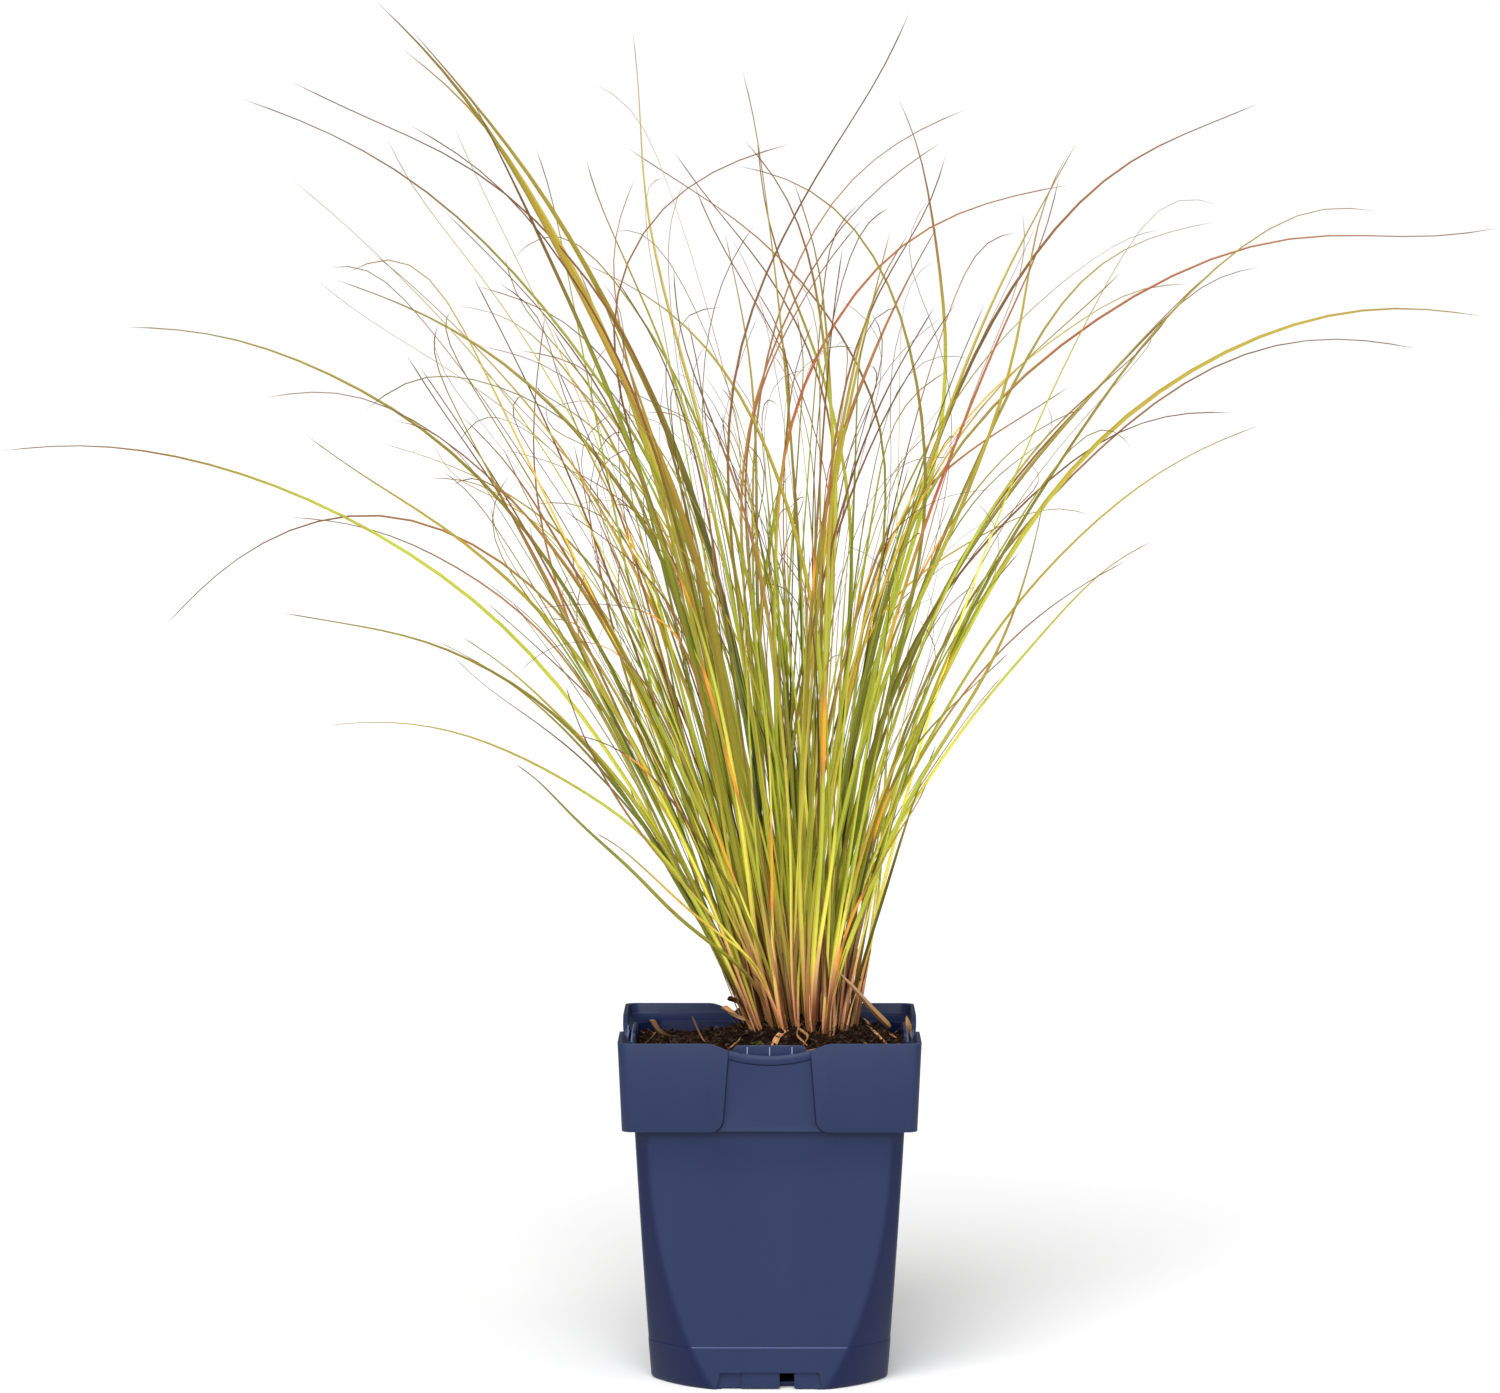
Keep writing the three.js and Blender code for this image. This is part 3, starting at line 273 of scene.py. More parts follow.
# Soil, in millimetres: gap to the pot, columns and rings of its top, heights of the rings of
# its wall, and the layers of its roughness as (height, fineness).
SOIL_GAP = 0.3
SOIL_COLUMNS = 320
SOIL_RINGS = 110
SOIL_HEIGHTS = (2.6, 9.8, 10.6, 20, 47, 80, 119, 140, 147)
SOIL_ROUGHNESS = ((1.5, 0.09), (1.0, 0.28), (0.5, 0.75), (0.3, 1.6))

# Bits strewn on the soil: less is more of them towards the wall, then how near they come to it.
STREWN_CROWDING = 0.6
STREWN_REACH = 0.985

# Crumbs: sizes in millimetres, stretch along three axes, how far one is sunk or lifted, as a
# share of its size, and how uneven it is.
CRUMB_SIZES = (0.22, 0.3, 0.4, 0.5, 0.75)
CRUMB_STRETCH = ((0.6, 1.3), (0.6, 1.3), (0.5, 1))
CRUMB_LIFT = (-0.1, 1.1)
CRUMB_UNEVENNESS = 0.35

# Fibres: radius and steps of the template, then for bark fibres length and width in
# millimetres, slant in radians, and bow as a share of length.
FIBRE_RADIUS = 0.6
FIBRE_STEPS = 3
FIBRE_LENGTH = (2, 8)
FIBRE_WIDTH = (0.1, 0.32)
FIBRE_SLANT = (-0.1, 0.75)
FIBRE_BOW = 0.2

# Root wisps: their distance from the crown in metres, turn and slant in radians, length and
# width in millimetres, bend as a share of length, narrowing to the end, and thickness to width.
WISP_RING = (0.006, 0.027)
WISP_TURN = 0.9
WISP_SLANT = (-0.2, 1.2)
WISP_LENGTH = (4, 12)
WISP_WIDTH = (0.2, 0.6)
WISP_BEND = 0.35
WISP_NARROWING = 0.7
WISP_THICKNESS = 0.4

# A tuft of moss, in millimetres: its middle, how far its leaflets spread, and their shape and sizes.
MOSS_MIDDLE = (-6, -26, 157.4)
MOSS_SPREAD = 1.17
MOSS_LEAFLETS = 45
MOSS_LEAFLET = (0.5, 0.5, 1.3)
MOSS_SIZES = (0.4, 0.8)

# Dead leaf ends on the soil, one for each CAD straw: how far its two ends stand up from
# the soil and its width, in millimetres.
STRAW_LOOKS = {
    "dry_straw_1": (0.6, 0.6, 2.8), "dry_straw_2": (0.5, 2, 1.7), "dry_straw_3": (11, 1, 1.4),
    "dry_straw_4": (10, 0.6, 3.2), "dry_straw_5": (0.4, 0.6, 1.8), "dry_straw_6": (2, 0.6, 2.4),
    "dry_straw_7": (0.6, 1, 1.8), "dry_straw_8": (0.5, 0.5, 1.7),
}
STRAW_POINTS = 4

# Other dead bits that lean on the clump or stand in the soil: places in millimetres, from
# the wide end to the narrow one, then width, tone, and how soon it narrows.
LOOSE_BITS = (
    (((57, 6, 161), (48, -8, 172), (40, -22, 183), (31, -36, 194)), 3.3, "straw", 1.6),
    (((43, -6, 186), (39, -5, 181), (34, -4, 175)), 2.6, "rust", 9),
    (((46, 4, 163), (51, -8, 159), (56, -14, 155)), 3.3, "straw", 1.5),
    (((47, 3, 163), (44, 9, 165), (41, 13, 165)), 2.4, "straw", 1.5),
    (((65, 8, 154), (66, 9, 160), (65, 11, 166)), 3.2, "straw", 3),
    (((-22, -3, 172), (-17, -7, 169), (-9, -10, 166)), 4.4, "straw", 5),
    (((-20, 4, 175), (-16, 3, 174), (-9, 0, 170)), 4.6, "rust", 4),
    (((-17, 5, 177), (-13, 3, 174), (-8, 0, 168)), 3.2, "husk", 3),
    (((-19, -28, 155), (-14, -19, 159), (-10, -10, 160)), 2.2, "straw", 9),
    (((-10, -11, 160), (-8, -7, 162), (-6, -4, 165)), 1.3, "straw", 2),
    (((2, -32, 157), (4, -26, 161), (7, -22, 163), (10, -20, 163)), 3.4, "straw", 2.2),
    (((17, -10, 167), (14, -18, 165), (13, -27, 162), (16, -33, 160), (20, -38, 156)), 1.4, "husk", 4),
    (((13, -24, 165), (18, -28, 162), (16, -34, 159), (13, -37, 156)), 1.2, "straw", 4),
    (((-61, 10, 151), (-57, 16, 154), (-54, 20, 157)), 1.2, "straw", 5),
    (((26, 12, 163), (29, 13, 174), (32, 12, 186)), 4.4, "rust", 2.4),
    (((31, 15, 162), (36, 18, 171), (39, 20, 179)), 3.8, "husk", 3),
    (((33, 14, 161), (37, 17, 166), (40, 19, 172)), 3.2, "rust", 4),
    (((24, 4, 164), (27, 3, 177), (29, 2, 190)), 4.2, "rust", 2),
    (((29, 8, 163), (33, 9, 172), (34, 10, 183)), 3.4, "chaff", 2.4),
    (((36, 20, 161), (39, 22, 165), (40, 23, 169)), 3.0, "husk", 4),
)

# Pot body, in millimetres: flat sides that lean outwards, cut by round corners whose radius
# grows from the foot up. A low ledge runs round its foot, and its underside has a soft edge.
POT_HEIGHT = 164
FOOT_HALF = 55.4
BODY_DRAFT = 0.0583
ROUND_LOW = 61
ROUND_GAIN = 23
ROUND_HEIGHT = 130
ROUND_POWER = 1.9
WALL = 1.4
FLOOR = 2.2
CREASE_SOFTNESS = 0.6
CREASE_STEPS = (9, 5.5, 3, 1.3)
CORNER_STEPS = 16
BODY_HEIGHTS = (
    0.35, 1.2, 3, 6, 9, 12, 16, 19.4, 19.8, 20, 20.2, 20.4, 20.7, 21.1, 25, 30, 35, 40, 45, 50, 55,
    60, 65, 70, 75, 80, 90, 100, 112, 124, 136, 147,
)
INNER_HEIGHTS = (147, 136, 112, 80, 40, 12, FLOOR)
FOOT_ROUNDING = {0: 0.9, 0.35: 0.35}
LEDGE_Z = 20.2
LEDGE = 0.2
# Height of the band under the ledge whose upward faces get a painted highlight.
LEDGE_HIGHLIGHT = 0.25

# Collar: a skirt that hangs outside the body, with proud corners. Its rim is drawn from the
# outside in, as distances down and inwards from its upper edge.
COLLAR_HALF = 70
COLLAR_HALF_LOW = 68.15
COLLAR_LOW_Z = 122.8
COLLAR_CORNER = 5
COLLAR_WALL = 3.4
COLLAR_ROOT_Z = 157
RIM_PROFILE = ((0, 0), (0, 1.8), (4.5, 2.6), (5.8, 3.8))
RIM_DEPTH = 7.6

# Middle panels of the collar, set back and parted from the corners by a fine seam.
PANEL_RECESS = 1.8
SEAM_DEPTH = 0.7
SEAM_WIDTH = 0.55
SEAM_FLOOR = PANEL_RECESS + SEAM_DEPTH
PANEL_HALF_TOP = 18.7
PANEL_HALF_LOW = 22
PANEL_FOOT_CURVE = 5.2
PANEL_CURVE_STEPS = 10
PANEL_RISE = 0.05

# Dip of the rim above each middle panel: an arc, then a slope of each side up to the rim.
DIP_START = 29.4
DIP_ARC_HALF = 18.5
DIP_ARC_RADIUS = 66
DIP_ARC_DROP = 5.9
DIP_ARC_CENTRE = POT_HEIGHT + DIP_ARC_RADIUS - DIP_ARC_DROP
DIP_ARC_STEPS = 12
DIP_SLOPE_STEPS = 10
DIP_SLOPE_POWER = 1.3
DIP_INNER = 62

# Lip along the dip, and the groove under it.
LIP_SIDES = 14
LIP_STEPS = 24
LIP_HALF_HEIGHT = 2.2
LIP_HALF_DEPTH = 1.15
LIP_RISE = 0.2
LIP_PROUD = 0.75
LIP_GROOVE = 0.5
LIP_GROOVE_RISE = 0.4

# Label slot behind the lip, the rounded tab of wall behind it, and the ribs on the tab.
SLOT_HALF = 17.6
SLOT_OUTER = 66.6
SLOT_INNER = 64.4
SLOT_LOW_Z = 151
TAB_HALF = 17
TAB_LOW_Z = 149
TAB_TOP = 162.5
TAB_CORNER = 3
TAB_CORNER_STEPS = 6
RIB_PLACES = (-10.3, 0, 10.3)
RIB_THICK = 0.42
RIB_LOW_Z = 147
RIB_TOP = 161.8
RIB_SLOPE = 0.15
RIB_FACE_AREA = 30e-6

# Foot: a notch in each side, with a wall behind it that stands further back on its left, and
# that a drain goes through.
NOTCH_HALF_TOP = 23
NOTCH_HALF_LOW = 25
NOTCH_HEIGHT = 8.2
BASE_WALL_HALF = 26
BASE_WALL_INNER = 50
BASE_WALL_FOOT = 1.1
BASE_WALL_TOP = 9.4
BASE_WALL_SET_BACK = 53.5
BASE_WALL_PROUD = 54.6
BASE_WALL_SPARE = 0.1
PROUD_FROM = -12.4
SET_BACK_MARGIN = 0.3
FOOT_GAP = 0.8
FOOT_GAP_MARGIN = 0.5
DRAIN = (4.7, 11.5)
DRAIN_TOP = 7.7
DRAIN_INNER = 47
DRAIN_CLEARANCE = 6

# How far a cut runs past a surface, how far an added solid is sunk into one, and how near two
# corners of a mesh are merged.
OVERCUT = 1
BITE = 0.3
DOUBLES = 0.002

# Edges turned more than this are rounded, if they are this many times as long as the rounding.
# Their painted highlight is kept above a height.
SHARP = math.radians(32)
SHORTEST_ROUNDED = 1.3
HIGHLIGHT_ABOVE = 151

# What starts the random draws of the leaves, the litter, the soil and the crumb's shape.
LEAF_SEED = 7
LITTER_SEED = 31
SOIL_SEED = 23
CRUMB_SEED = 5

# Each piece is shaded smooth across edges turned less than this, in degrees.
POT_SMOOTHING = 32
SOIL_SMOOTHING = 60
LEAF_SMOOTHING = 40

# Where the faces of the ledge, the lip's back and the ribs that get a painted highlight are found: how
# far beside the slot's walls, how far from the lip's end, and how much they face upwards.
RIB_MARGIN = 0.4
LIP_BACK = (-0.3, 0.7)
LIP_BACK_END = 1
LIP_BACK_UPWARDS = 0.6
LEDGE_UPWARDS = 0.3

# Painted shade on the pot: what is left of the plastic's colour where it is deepest, then how deep
# it is in the round corners and as a painted shadow on the wall below the collar, with the
# distances or heights over which that sets in.
PAINTED_SHADE_TINT = (0.18, 0.32, 0.66)
CORNER_SHADE = 0.9
CORNER_SHADE_EDGE = (-1.3, 1.7)
COLLAR_SHADOW = 0.4
COLLAR_SHADOW_Z = (98, 118)


def metres(values):
    """Turns millimetres into metres."""
    return np.asarray(values, float) * MM


def deselect():
    """Leaves nothing selected."""
    for thing in bpy.context.selected_objects:
        thing.select_set(False)


def select_only(thing):
    """Selects one object and makes it the active one."""
    deselect()
    thing.select_set(True)
    bpy.context.view_layer.objects.active = thing


def add_primitive(operator, name, **settings):
    """Adds a primitive with nothing else selected, and names it."""
    deselect()
    operator(**settings)
    piece = bpy.context.object
    piece.name = name
    return piece


@contextmanager
def editing(piece):
    """Edit mode on one piece, with all of it selected."""
    select_only(piece)
    bpy.ops.object.mode_set(mode="EDIT")
    bpy.ops.mesh.select_all(action="SELECT")
    yield
    bpy.ops.object.mode_set(mode="OBJECT")


def values_of(items, name, kind=float, size=1):
    """A property of a mesh's vertices, edges, faces or corners: one value each, or one row."""
    flat = np.empty(len(items) * size, kind)
    items.foreach_get(name, flat)
    return flat.reshape(-1, size) if size > 1 else flat


def points_of(mesh):
    """The places of a mesh's vertices, one row each."""
    return values_of(mesh.vertices, "co", size=3)


def move_points(mesh, points):
    """Sets the places of a mesh's vertices."""
    mesh.vertices.foreach_set("co", np.asarray(points, float).ravel())
    mesh.update()


def paint(mesh, name, values, domain="POINT"):
    """Paints a number on each vertex or edge of a mesh."""
    layer = mesh.attributes.new(name, "FLOAT", domain)
    layer.data.foreach_set("value", np.asarray(values, np.float32))


def join(things, name):
    """Joins objects into the first of them and names it."""
    deselect()
    for thing in things:
        thing.select_set(True)
    bpy.context.view_layer.objects.active = things[0]
    bpy.ops.object.join()
    joined = bpy.context.object
    joined.name = name
    joined.data.name = name
    return joined


def copy_of(template, name):
    """A copy of an object with a mesh of its own."""
    copy = bpy.data.objects.new(name, template.data.copy())
    bpy.context.scene.collection.objects.link(copy)
    return copy


def discard(thing):
    """Removes a template once its copies are made."""
    mesh = thing.data
    bpy.data.objects.remove(thing)
    bpy.data.meshes.remove(mesh)


def smooth_by_angle(thing, degrees):
    """Shades a piece smooth across edges flatter than an angle."""
    select_only(thing)
    bpy.ops.object.shade_smooth_by_angle(angle=math.radians(degrees))


def apply_modifier(thing, kind, **settings):
    """Adds a modifier, sets it up and applies it."""
    select_only(thing)
    modifier = thing.modifiers.new(kind.title(), kind)
    for name, value in settings.items():
        setattr(modifier, name, value)
    bpy.ops.object.modifier_apply(modifier=modifier.name)


def turned(points, angle):
    """Points turned about the upright axis."""
    cos, sin = math.cos(angle), math.sin(angle)
    points = np.array(points, float)
    points[:, :2] = points[:, :2] @ np.array([[cos, sin], [-sin, cos]])
    return points


def steps_of(line):
    """The lengths of the steps along a line."""
    return np.linalg.norm(np.diff(line, axis=0), axis=1)


def seat(piece, slot, *nodes):
    """Lets a finished piece ride on the plant's one body in place of the CAD nodes."""
    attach(piece, "root")
    if nodes:
        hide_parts(*nodes)


def srgb(code):
    """A hexadecimal screen colour as linear light."""
    parts = [int(code[k:k + 2], 16) / 255 for k in (0, 2, 4)]
    return tuple(c / 12.92 if c <= 0.04045 else ((c + 0.055) / 1.055) ** 2.4 for c in parts)


def blend(first, second, share):
    """A colour part of the way between two."""
    return tuple(a + (b - a) * share for a, b in zip(first, second))


def colour_property(name, code, description):
    """A colour that a user may change."""
    return FloatVectorProperty(
        name=name, description=description, default=srgb(code), subtype="COLOR", min=0, max=1,
    )


class SEDGE_PG_leaves(PropertyGroup):
    """Sizes and colours of the leaves."""

    widen: FloatProperty(
        name="Widen", description="Width of every leaf against its measured width",
        default=1.0, min=0.5, max=1.5, subtype="FACTOR")
    companions: IntProperty(
        name="Companions", description="Shorter leaves on each stem", default=2, min=0, max=12)
    threads: IntProperty(
        name="Threads", description="Hair-fine old leaves on each stem", default=1, min=0, max=8)
    husks: IntProperty(
        name="Husks", description="Short dead sheaths at the foot of each stem", default=4, min=0, max=12)
    husk_length: FloatProperty(
        name="Husk length", description="Longest dead sheath above the soil",
        default=0.06, min=0.02, max=0.12, unit="LENGTH")
    root: colour_property("Root", "f0a87c", "Foot of each leaf, where it leaves the soil")
    sheath: colour_property("Sheath", "ecc46c", "Straw-yellow part just above the foot")
    lime: colour_property("Lime", "ece258", "Fresh inner leaves")
    green: colour_property("Green", "b0b638", "Grown leaves")
    olive: colour_property("Olive", "a89632", "Older leaves")
    moss: colour_property("Moss", "6e7a46", "Darkest leaves")
    gold: colour_property("Gold", "e0b848", "Yellowed leaves")
    bronze: colour_property("Bronze", "84602c", "Brown-flushed upper leaves")
    copper: colour_property("Copper", "a46c40", "Salmon-brown upper leaves")
    scarlet: colour_property("Scarlet", "b05c36", "Reddest leaves")
    orange: colour_property("Orange", "f09a2e", "Vivid flushes")
    thread: colour_property("Thread", "74502f", "Dry curled tips")
    husk: colour_property("Husk", "e0a678", "Papery dead sheaths at the crown")
    chaff: colour_property("Chaff", "9c8258", "Weathered dead sheaths")
    rust: colour_property("Rust", "82502e", "Oldest dead sheaths and leaves")
    straw: colour_property("Straw", "e8b484", "Dead leaf ends on the soil")


class SEDGE_PG_pot(PropertyGroup):
    """Sizes and colours of the pot."""

    colour: colour_property("Colour", "202b4b", "Moulded plastic of the pot")
    # Colours of painted highlights: on the rim's rounded edges, the ledge and the lips' backs, and on the
    # ribs in the label slots.
    edge_highlight_colour: colour_property("Edge colour", "66759e", "Rubbed edges of the rim")
    rib_highlight_colour: colour_property("Rib colour", "8088a8", "Stress-whitened ribs in the label slots")
    edge: FloatProperty(
        name="Edge", description="Rounding of the moulded edges",
        default=0.00035, min=0.0001, max=0.001, unit="LENGTH")
    roughness: FloatProperty(
        name="Roughness", description="Dullness of the plastic",
        default=0.48, min=0.1, max=1, subtype="FACTOR")


class SEDGE_PG_soil(PropertyGroup):
    """Sizes and colours of the soil."""

    peat: colour_property("Peat", "170d07", "Damp potting mix")
    fibre: colour_property("Fibre", "36231a", "Bark fibres")
    wisp: colour_property("Wisp", "7a5030", "Frayed root wisps")
    moss: colour_property("Moss", "4c5628", "Tuft of moss")
    wisps: IntProperty(name="Wisps", description="Frayed root wisps", default=340, min=0, max=1000)
    crumbs: IntProperty(name="Crumbs", description="Crumbs of peat", default=3600, min=0, max=6000)
    fibres: IntProperty(name="Fibres", description="Bark fibres", default=2600, min=0, max=4000)


class SEDGE_PG_stage(PropertyGroup):
    """Light and floor."""

    sky: FloatProperty(
        name="Sky", description="Light from all round", default=0.3, min=0, max=3)
    key: FloatProperty(
        name="Key", description="Strength of the large soft light", default=3.8, min=0, max=20)
    fill: FloatProperty(
        name="Fill", description="Strength of the light from the other side",
        default=1.2, min=0, max=20)
    floor: colour_property("Floor", "f8f8f8", "Pale floor")


def new_material(name):
    """A material with its node tree and its surface shader."""
    material = bpy.data.materials.new(name)
    material.use_nodes = True
    tree = material.node_tree
    return material, tree, tree.nodes["Principled BSDF"]


def add_node(tree, kind, **settings):
    """Adds a node and sets it up."""
    node = tree.nodes.new(kind)
    for name, value in settings.items():
        setattr(node, name, value)
    return node


def feed(tree, value, socket):
    """Gives a socket what another socket puts out, or a number or a colour of its own."""
    if isinstance(value, bpy.types.NodeSocket):
        tree.links.new(value, socket)
    elif socket.type == "RGBA":
        socket.default_value = (*value, 1)
    else:
        socket.default_value = value


def attribute_value(tree, name):
    """The value of a number painted on a mesh's vertices."""
    return add_node(tree, "ShaderNodeAttribute", attribute_name=name).outputs["Fac"]


def ramp(tree, value, stops):
    """Turns a value into a colour through stops of (place, colour)."""
    node = add_node(tree, "ShaderNodeValToRGB")
    elements = node.color_ramp.elements
    while len(elements) < len(stops):
        elements.new(0.5)
    for element, (place, colour) in zip(elements, stops):
        element.position = place
        element.color = (*colour, 1)
    feed(tree, value, node.inputs["Fac"])
    return node.outputs["Color"]


def grey_ramp(tree, value, stops):
    """Turns a value into a grey through stops of (place, brightness)."""
    return ramp(tree, value, [(place, (level,) * 3) for place, level in stops])


def mix(tree, kind, factor, first, second):
    """Mixes two colours. The factor is a number or a socket."""
    node = add_node(tree, "ShaderNodeMix", data_type="RGBA", blend_type=kind)
    colour_sockets = [socket for socket in node.inputs if socket.type == "RGBA"]
    for socket, value in ((node.inputs["Factor"], factor), *zip(colour_sockets, (first, second))):
        feed(tree, value, socket)
    return next(socket for socket in node.outputs if socket.type == "RGBA")


def shaded(tree, colour, *layers):
    """Multiplies a colour by layers of (share, shade)."""
    for share, shade in layers:
        colour = mix(tree, "MULTIPLY", share, colour, shade)
    return colour


def stretched_noise(tree, coordinates, scale, stretch, detail):
    """Noise on given coordinates, stretched by a scale along each axis."""
    mapping = add_node(tree, "ShaderNodeMapping")
    texture = add_node(tree, "ShaderNodeTexNoise")
    for value, socket in (
        (coordinates, mapping.inputs["Vector"]), (stretch, mapping.inputs["Scale"]),
        (mapping.outputs["Vector"], texture.inputs["Vector"]), (scale, texture.inputs["Scale"]),
        (detail, texture.inputs["Detail"]),
    ):
        feed(tree, value, socket)
    return texture.outputs["Fac"]


def set_surface(tree, shader, colour, roughness, gloss):
    """Sets the colour of a surface, how dull it is and how strongly it shines."""
    feed(tree, colour, shader.inputs["Base Color"])
    shader.inputs["Roughness"].default_value = roughness
    shader.inputs["Specular IOR Level"].default_value = gloss


def add_bump(tree, shader, height, strength, distance):
    """Lets a height roughen the surface."""
    bump = add_node(tree, "ShaderNodeBump")
    bump.inputs["Strength"].default_value = strength
    bump.inputs["Distance"].default_value = distance
    feed(tree, height, bump.inputs["Height"])
    feed(tree, bump.outputs["Normal"], shader.inputs["Normal"])


def leaf_stops(settings, tone):
    """Colours along a leaf of one tone, from its foot to its tip."""
    colours = [tuple(getattr(settings, name)) for name in TONES[tone].split()]
    foot = blend(colours[0], BLACK, 0 if tone == "straw" else FOOT_DARKNESS)
    return [(0, foot), *zip(LEAF_STAGES, colours)]


def leaf_material(settings, tone):
    """Leaf of one tone: ribbed along its length, blotched, flushed orange in places, with painted shade."""
    material, tree, shader = new_material(f"Leaf {tone}")
    places = add_node(tree, "ShaderNodeTexCoord").outputs
    stage, flush = attribute_value(tree, "stage"), attribute_value(tree, "flush")
    across = add_node(tree, "ShaderNodeSeparateXYZ")
    feed(tree, places["UV"], across.inputs["Vector"])
    ribs = stretched_noise(tree, places["UV"], 1, (6, 14, 1), 2)
    strands = stretched_noise(tree, places["UV"], 1, (11, 22, 1), 3)
    blotch = stretched_noise(tree, places["Object"], 60, (1, 1, 0.35), 4)
    deepest, dim = (0.4, DRY_SHADED_HALF) if tone in DRY_TONES else (0.7, SHADED_HALF)
    # Painted shade: each leaf's tint and shade, weaker from the middle of the leaf to its tip, and the
    # shaded half of its fold.
    colour = shaded(
        tree, ramp(tree, stage, leaf_stops(settings, tone)),
        (grey_ramp(tree, stage, [(0.5, 1), (0.82, 0.45)]), ramp(tree, attribute_value(tree, "tint"), TINT_AND_SHADE_STOPS)),
        (0.75, grey_ramp(tree, ribs, [(0.35, deepest), (0.58, 1)])),
        (grey_ramp(tree, stage, [(0.1, 1), (0.24, 0)]),
         ramp(tree, strands, [(0.4, STRAND_SHADE), (0.52, WHITE)])),
        (1, ramp(tree, across.outputs["X"], [(0.44, WHITE), (0.54, dim)])),
    )
    blotch_share = grey_ramp(tree, blotch, [(0.58, 0), (0.74, 0.5)])
    colour = mix(tree, "MIX", blotch_share, colour, tuple(settings.bronze))
    flush_colour = ramp(tree, flush, [(0.3, tuple(settings.scarlet)), (0.8, tuple(settings.orange))])
    colour = mix(tree, "MIX", grey_ramp(tree, flush, [(0, 0), (0.6, 1)]), colour, flush_colour)
    set_surface(tree, shader, colour, 0.5, 0.2)
    add_bump(tree, shader, ribs, 0.25, 0.0003)
    return material


def plastic_material(settings, name, base):
    """Moulded pot plastic: faint upright flow streaks, a fine grain, and painted shade where the mesh marks
    it.
    """
    material, tree, shader = new_material(name)
    places = add_node(tree, "ShaderNodeTexCoord").outputs
    streaks = stretched_noise(tree, places["Object"], 30, (1, 1, 0.06), 3)
    grain = stretched_noise(tree, places["Object"], 1400, (1, 1, 1), 2)
    colour = shaded(
        tree, tuple(base),
        (0.7, grey_ramp(tree, streaks, [(0.3, 0.86), (0.7, 1)])),
        (0.6, grey_ramp(tree, grain, [(0.35, 0.88), (0.65, 1)])),
        # Painted shade, from the "dark" number on the pot's vertices.
        (1, ramp(tree, attribute_value(tree, "dark"), [(0, WHITE), (1, PAINTED_SHADE_TINT)])),
    )
    set_surface(tree, shader, colour, settings.roughness, 0.18)
    add_bump(tree, shader, grain, 0.12, 0.0002)
    return material


def peat_material(name, colour, lift):
    """Damp peat or bark: dark, with paler grains."""
    material, tree, shader = new_material(name)
    places = add_node(tree, "ShaderNodeTexCoord").outputs
    grains = stretched_noise(tree, places["Object"], 420, (1, 1, 1), 5)
    dark, light = blend(colour, BLACK, 0.55), blend(colour, (1, 0.85, 0.65), lift)
    shade = ramp(tree, grains, [(0.35, dark), (0.55, colour), (0.75, light)])
    set_surface(tree, shader, shade, 0.9, 0.03)
    add_bump(tree, shader, grains, 0.6, 0.001)
    return material


def make_leaf_materials(settings):
    """Makes the materials of all tones of leaf, apart from those already made."""
    for tone in TONES:
        if f"Leaf {tone}" not in bpy.data.materials:
            leaf_material(settings, tone)


def draw_out(steps):
    """Extrudes what is selected upwards by one, in equal steps."""
    for _ in range(steps):
        bpy.ops.mesh.extrude_region_move(TRANSFORM_OT_translate={"value": (0, 0, 1 / steps)})


def blade_template():
    """One straight folded blade, a metre long and wide, drawn out ring by ring."""
    blade = add_primitive(
        bpy.ops.mesh.primitive_circle_add, "blade_template",
        vertices=len(BLADE_SECTION), fill_type="NGON")
    move_points(blade.data, [(x, y, 0) for x, y in BLADE_SECTION])
    with editing(blade):
        draw_out(BLADE_RINGS)
        bpy.ops.mesh.merge(type="CENTER")
        bpy.ops.mesh.select_all(action="SELECT")
        bpy.ops.mesh.normals_make_consistent(inside=False)
    corners = points_of(blade.data)[values_of(blade.data.loops, "vertex_index", int)]
    layer = blade.data.uv_layers.new(name="Blade")
    layer.data.foreach_set("uv", np.column_stack([corners[:, 0] + 0.5, corners[:, 2]]).ravel())
    return blade


def smooth_line(points, shares):
    """Places at shares of the length of a smooth curve through the points."""
    points = np.asarray(points, float)
    knots = np.concatenate([[0], np.cumsum(np.sqrt(steps_of(points)))])
    slopes = np.gradient(points, knots, axis=0)
    fine = np.linspace(0, knots[-1], CURVE_STEPS)
    piece = np.clip(np.searchsorted(knots, fine, side="right") - 1, 0, len(points) - 2)
    span = (knots[piece + 1] - knots[piece])[:, None]
    t = (fine - knots[piece])[:, None] / span
    curve = (
        (2 * t**3 - 3 * t**2 + 1) * points[piece]
        + (t**3 - 2 * t**2 + t) * span * slopes[piece]
        + (3 * t**2 - 2 * t**3) * points[piece + 1]
        + (t**3 - t**2) * span * slopes[piece + 1]
    )
    lengths = np.concatenate([[0], np.cumsum(steps_of(curve))])
    wanted = np.asarray(shares) * lengths[-1]
    return np.column_stack([np.interp(wanted, lengths, curve[:, axis]) for axis in range(3)])


def directions(line, start_side):
    """For each place on a line its sideways and upward directions, turning no more than the line."""
    tangents = np.gradient(line, axis=0)
    tangents /= np.linalg.norm(tangents, axis=1)[:, None]
    side = np.asarray(start_side, float)
    sides = []
    for tangent in tangents:
        side = side - side @ tangent * tangent
        side = side / np.linalg.norm(side)
        sides.append(side)
    sides = np.array(sides)
    return sides, np.cross(tangents, sides)


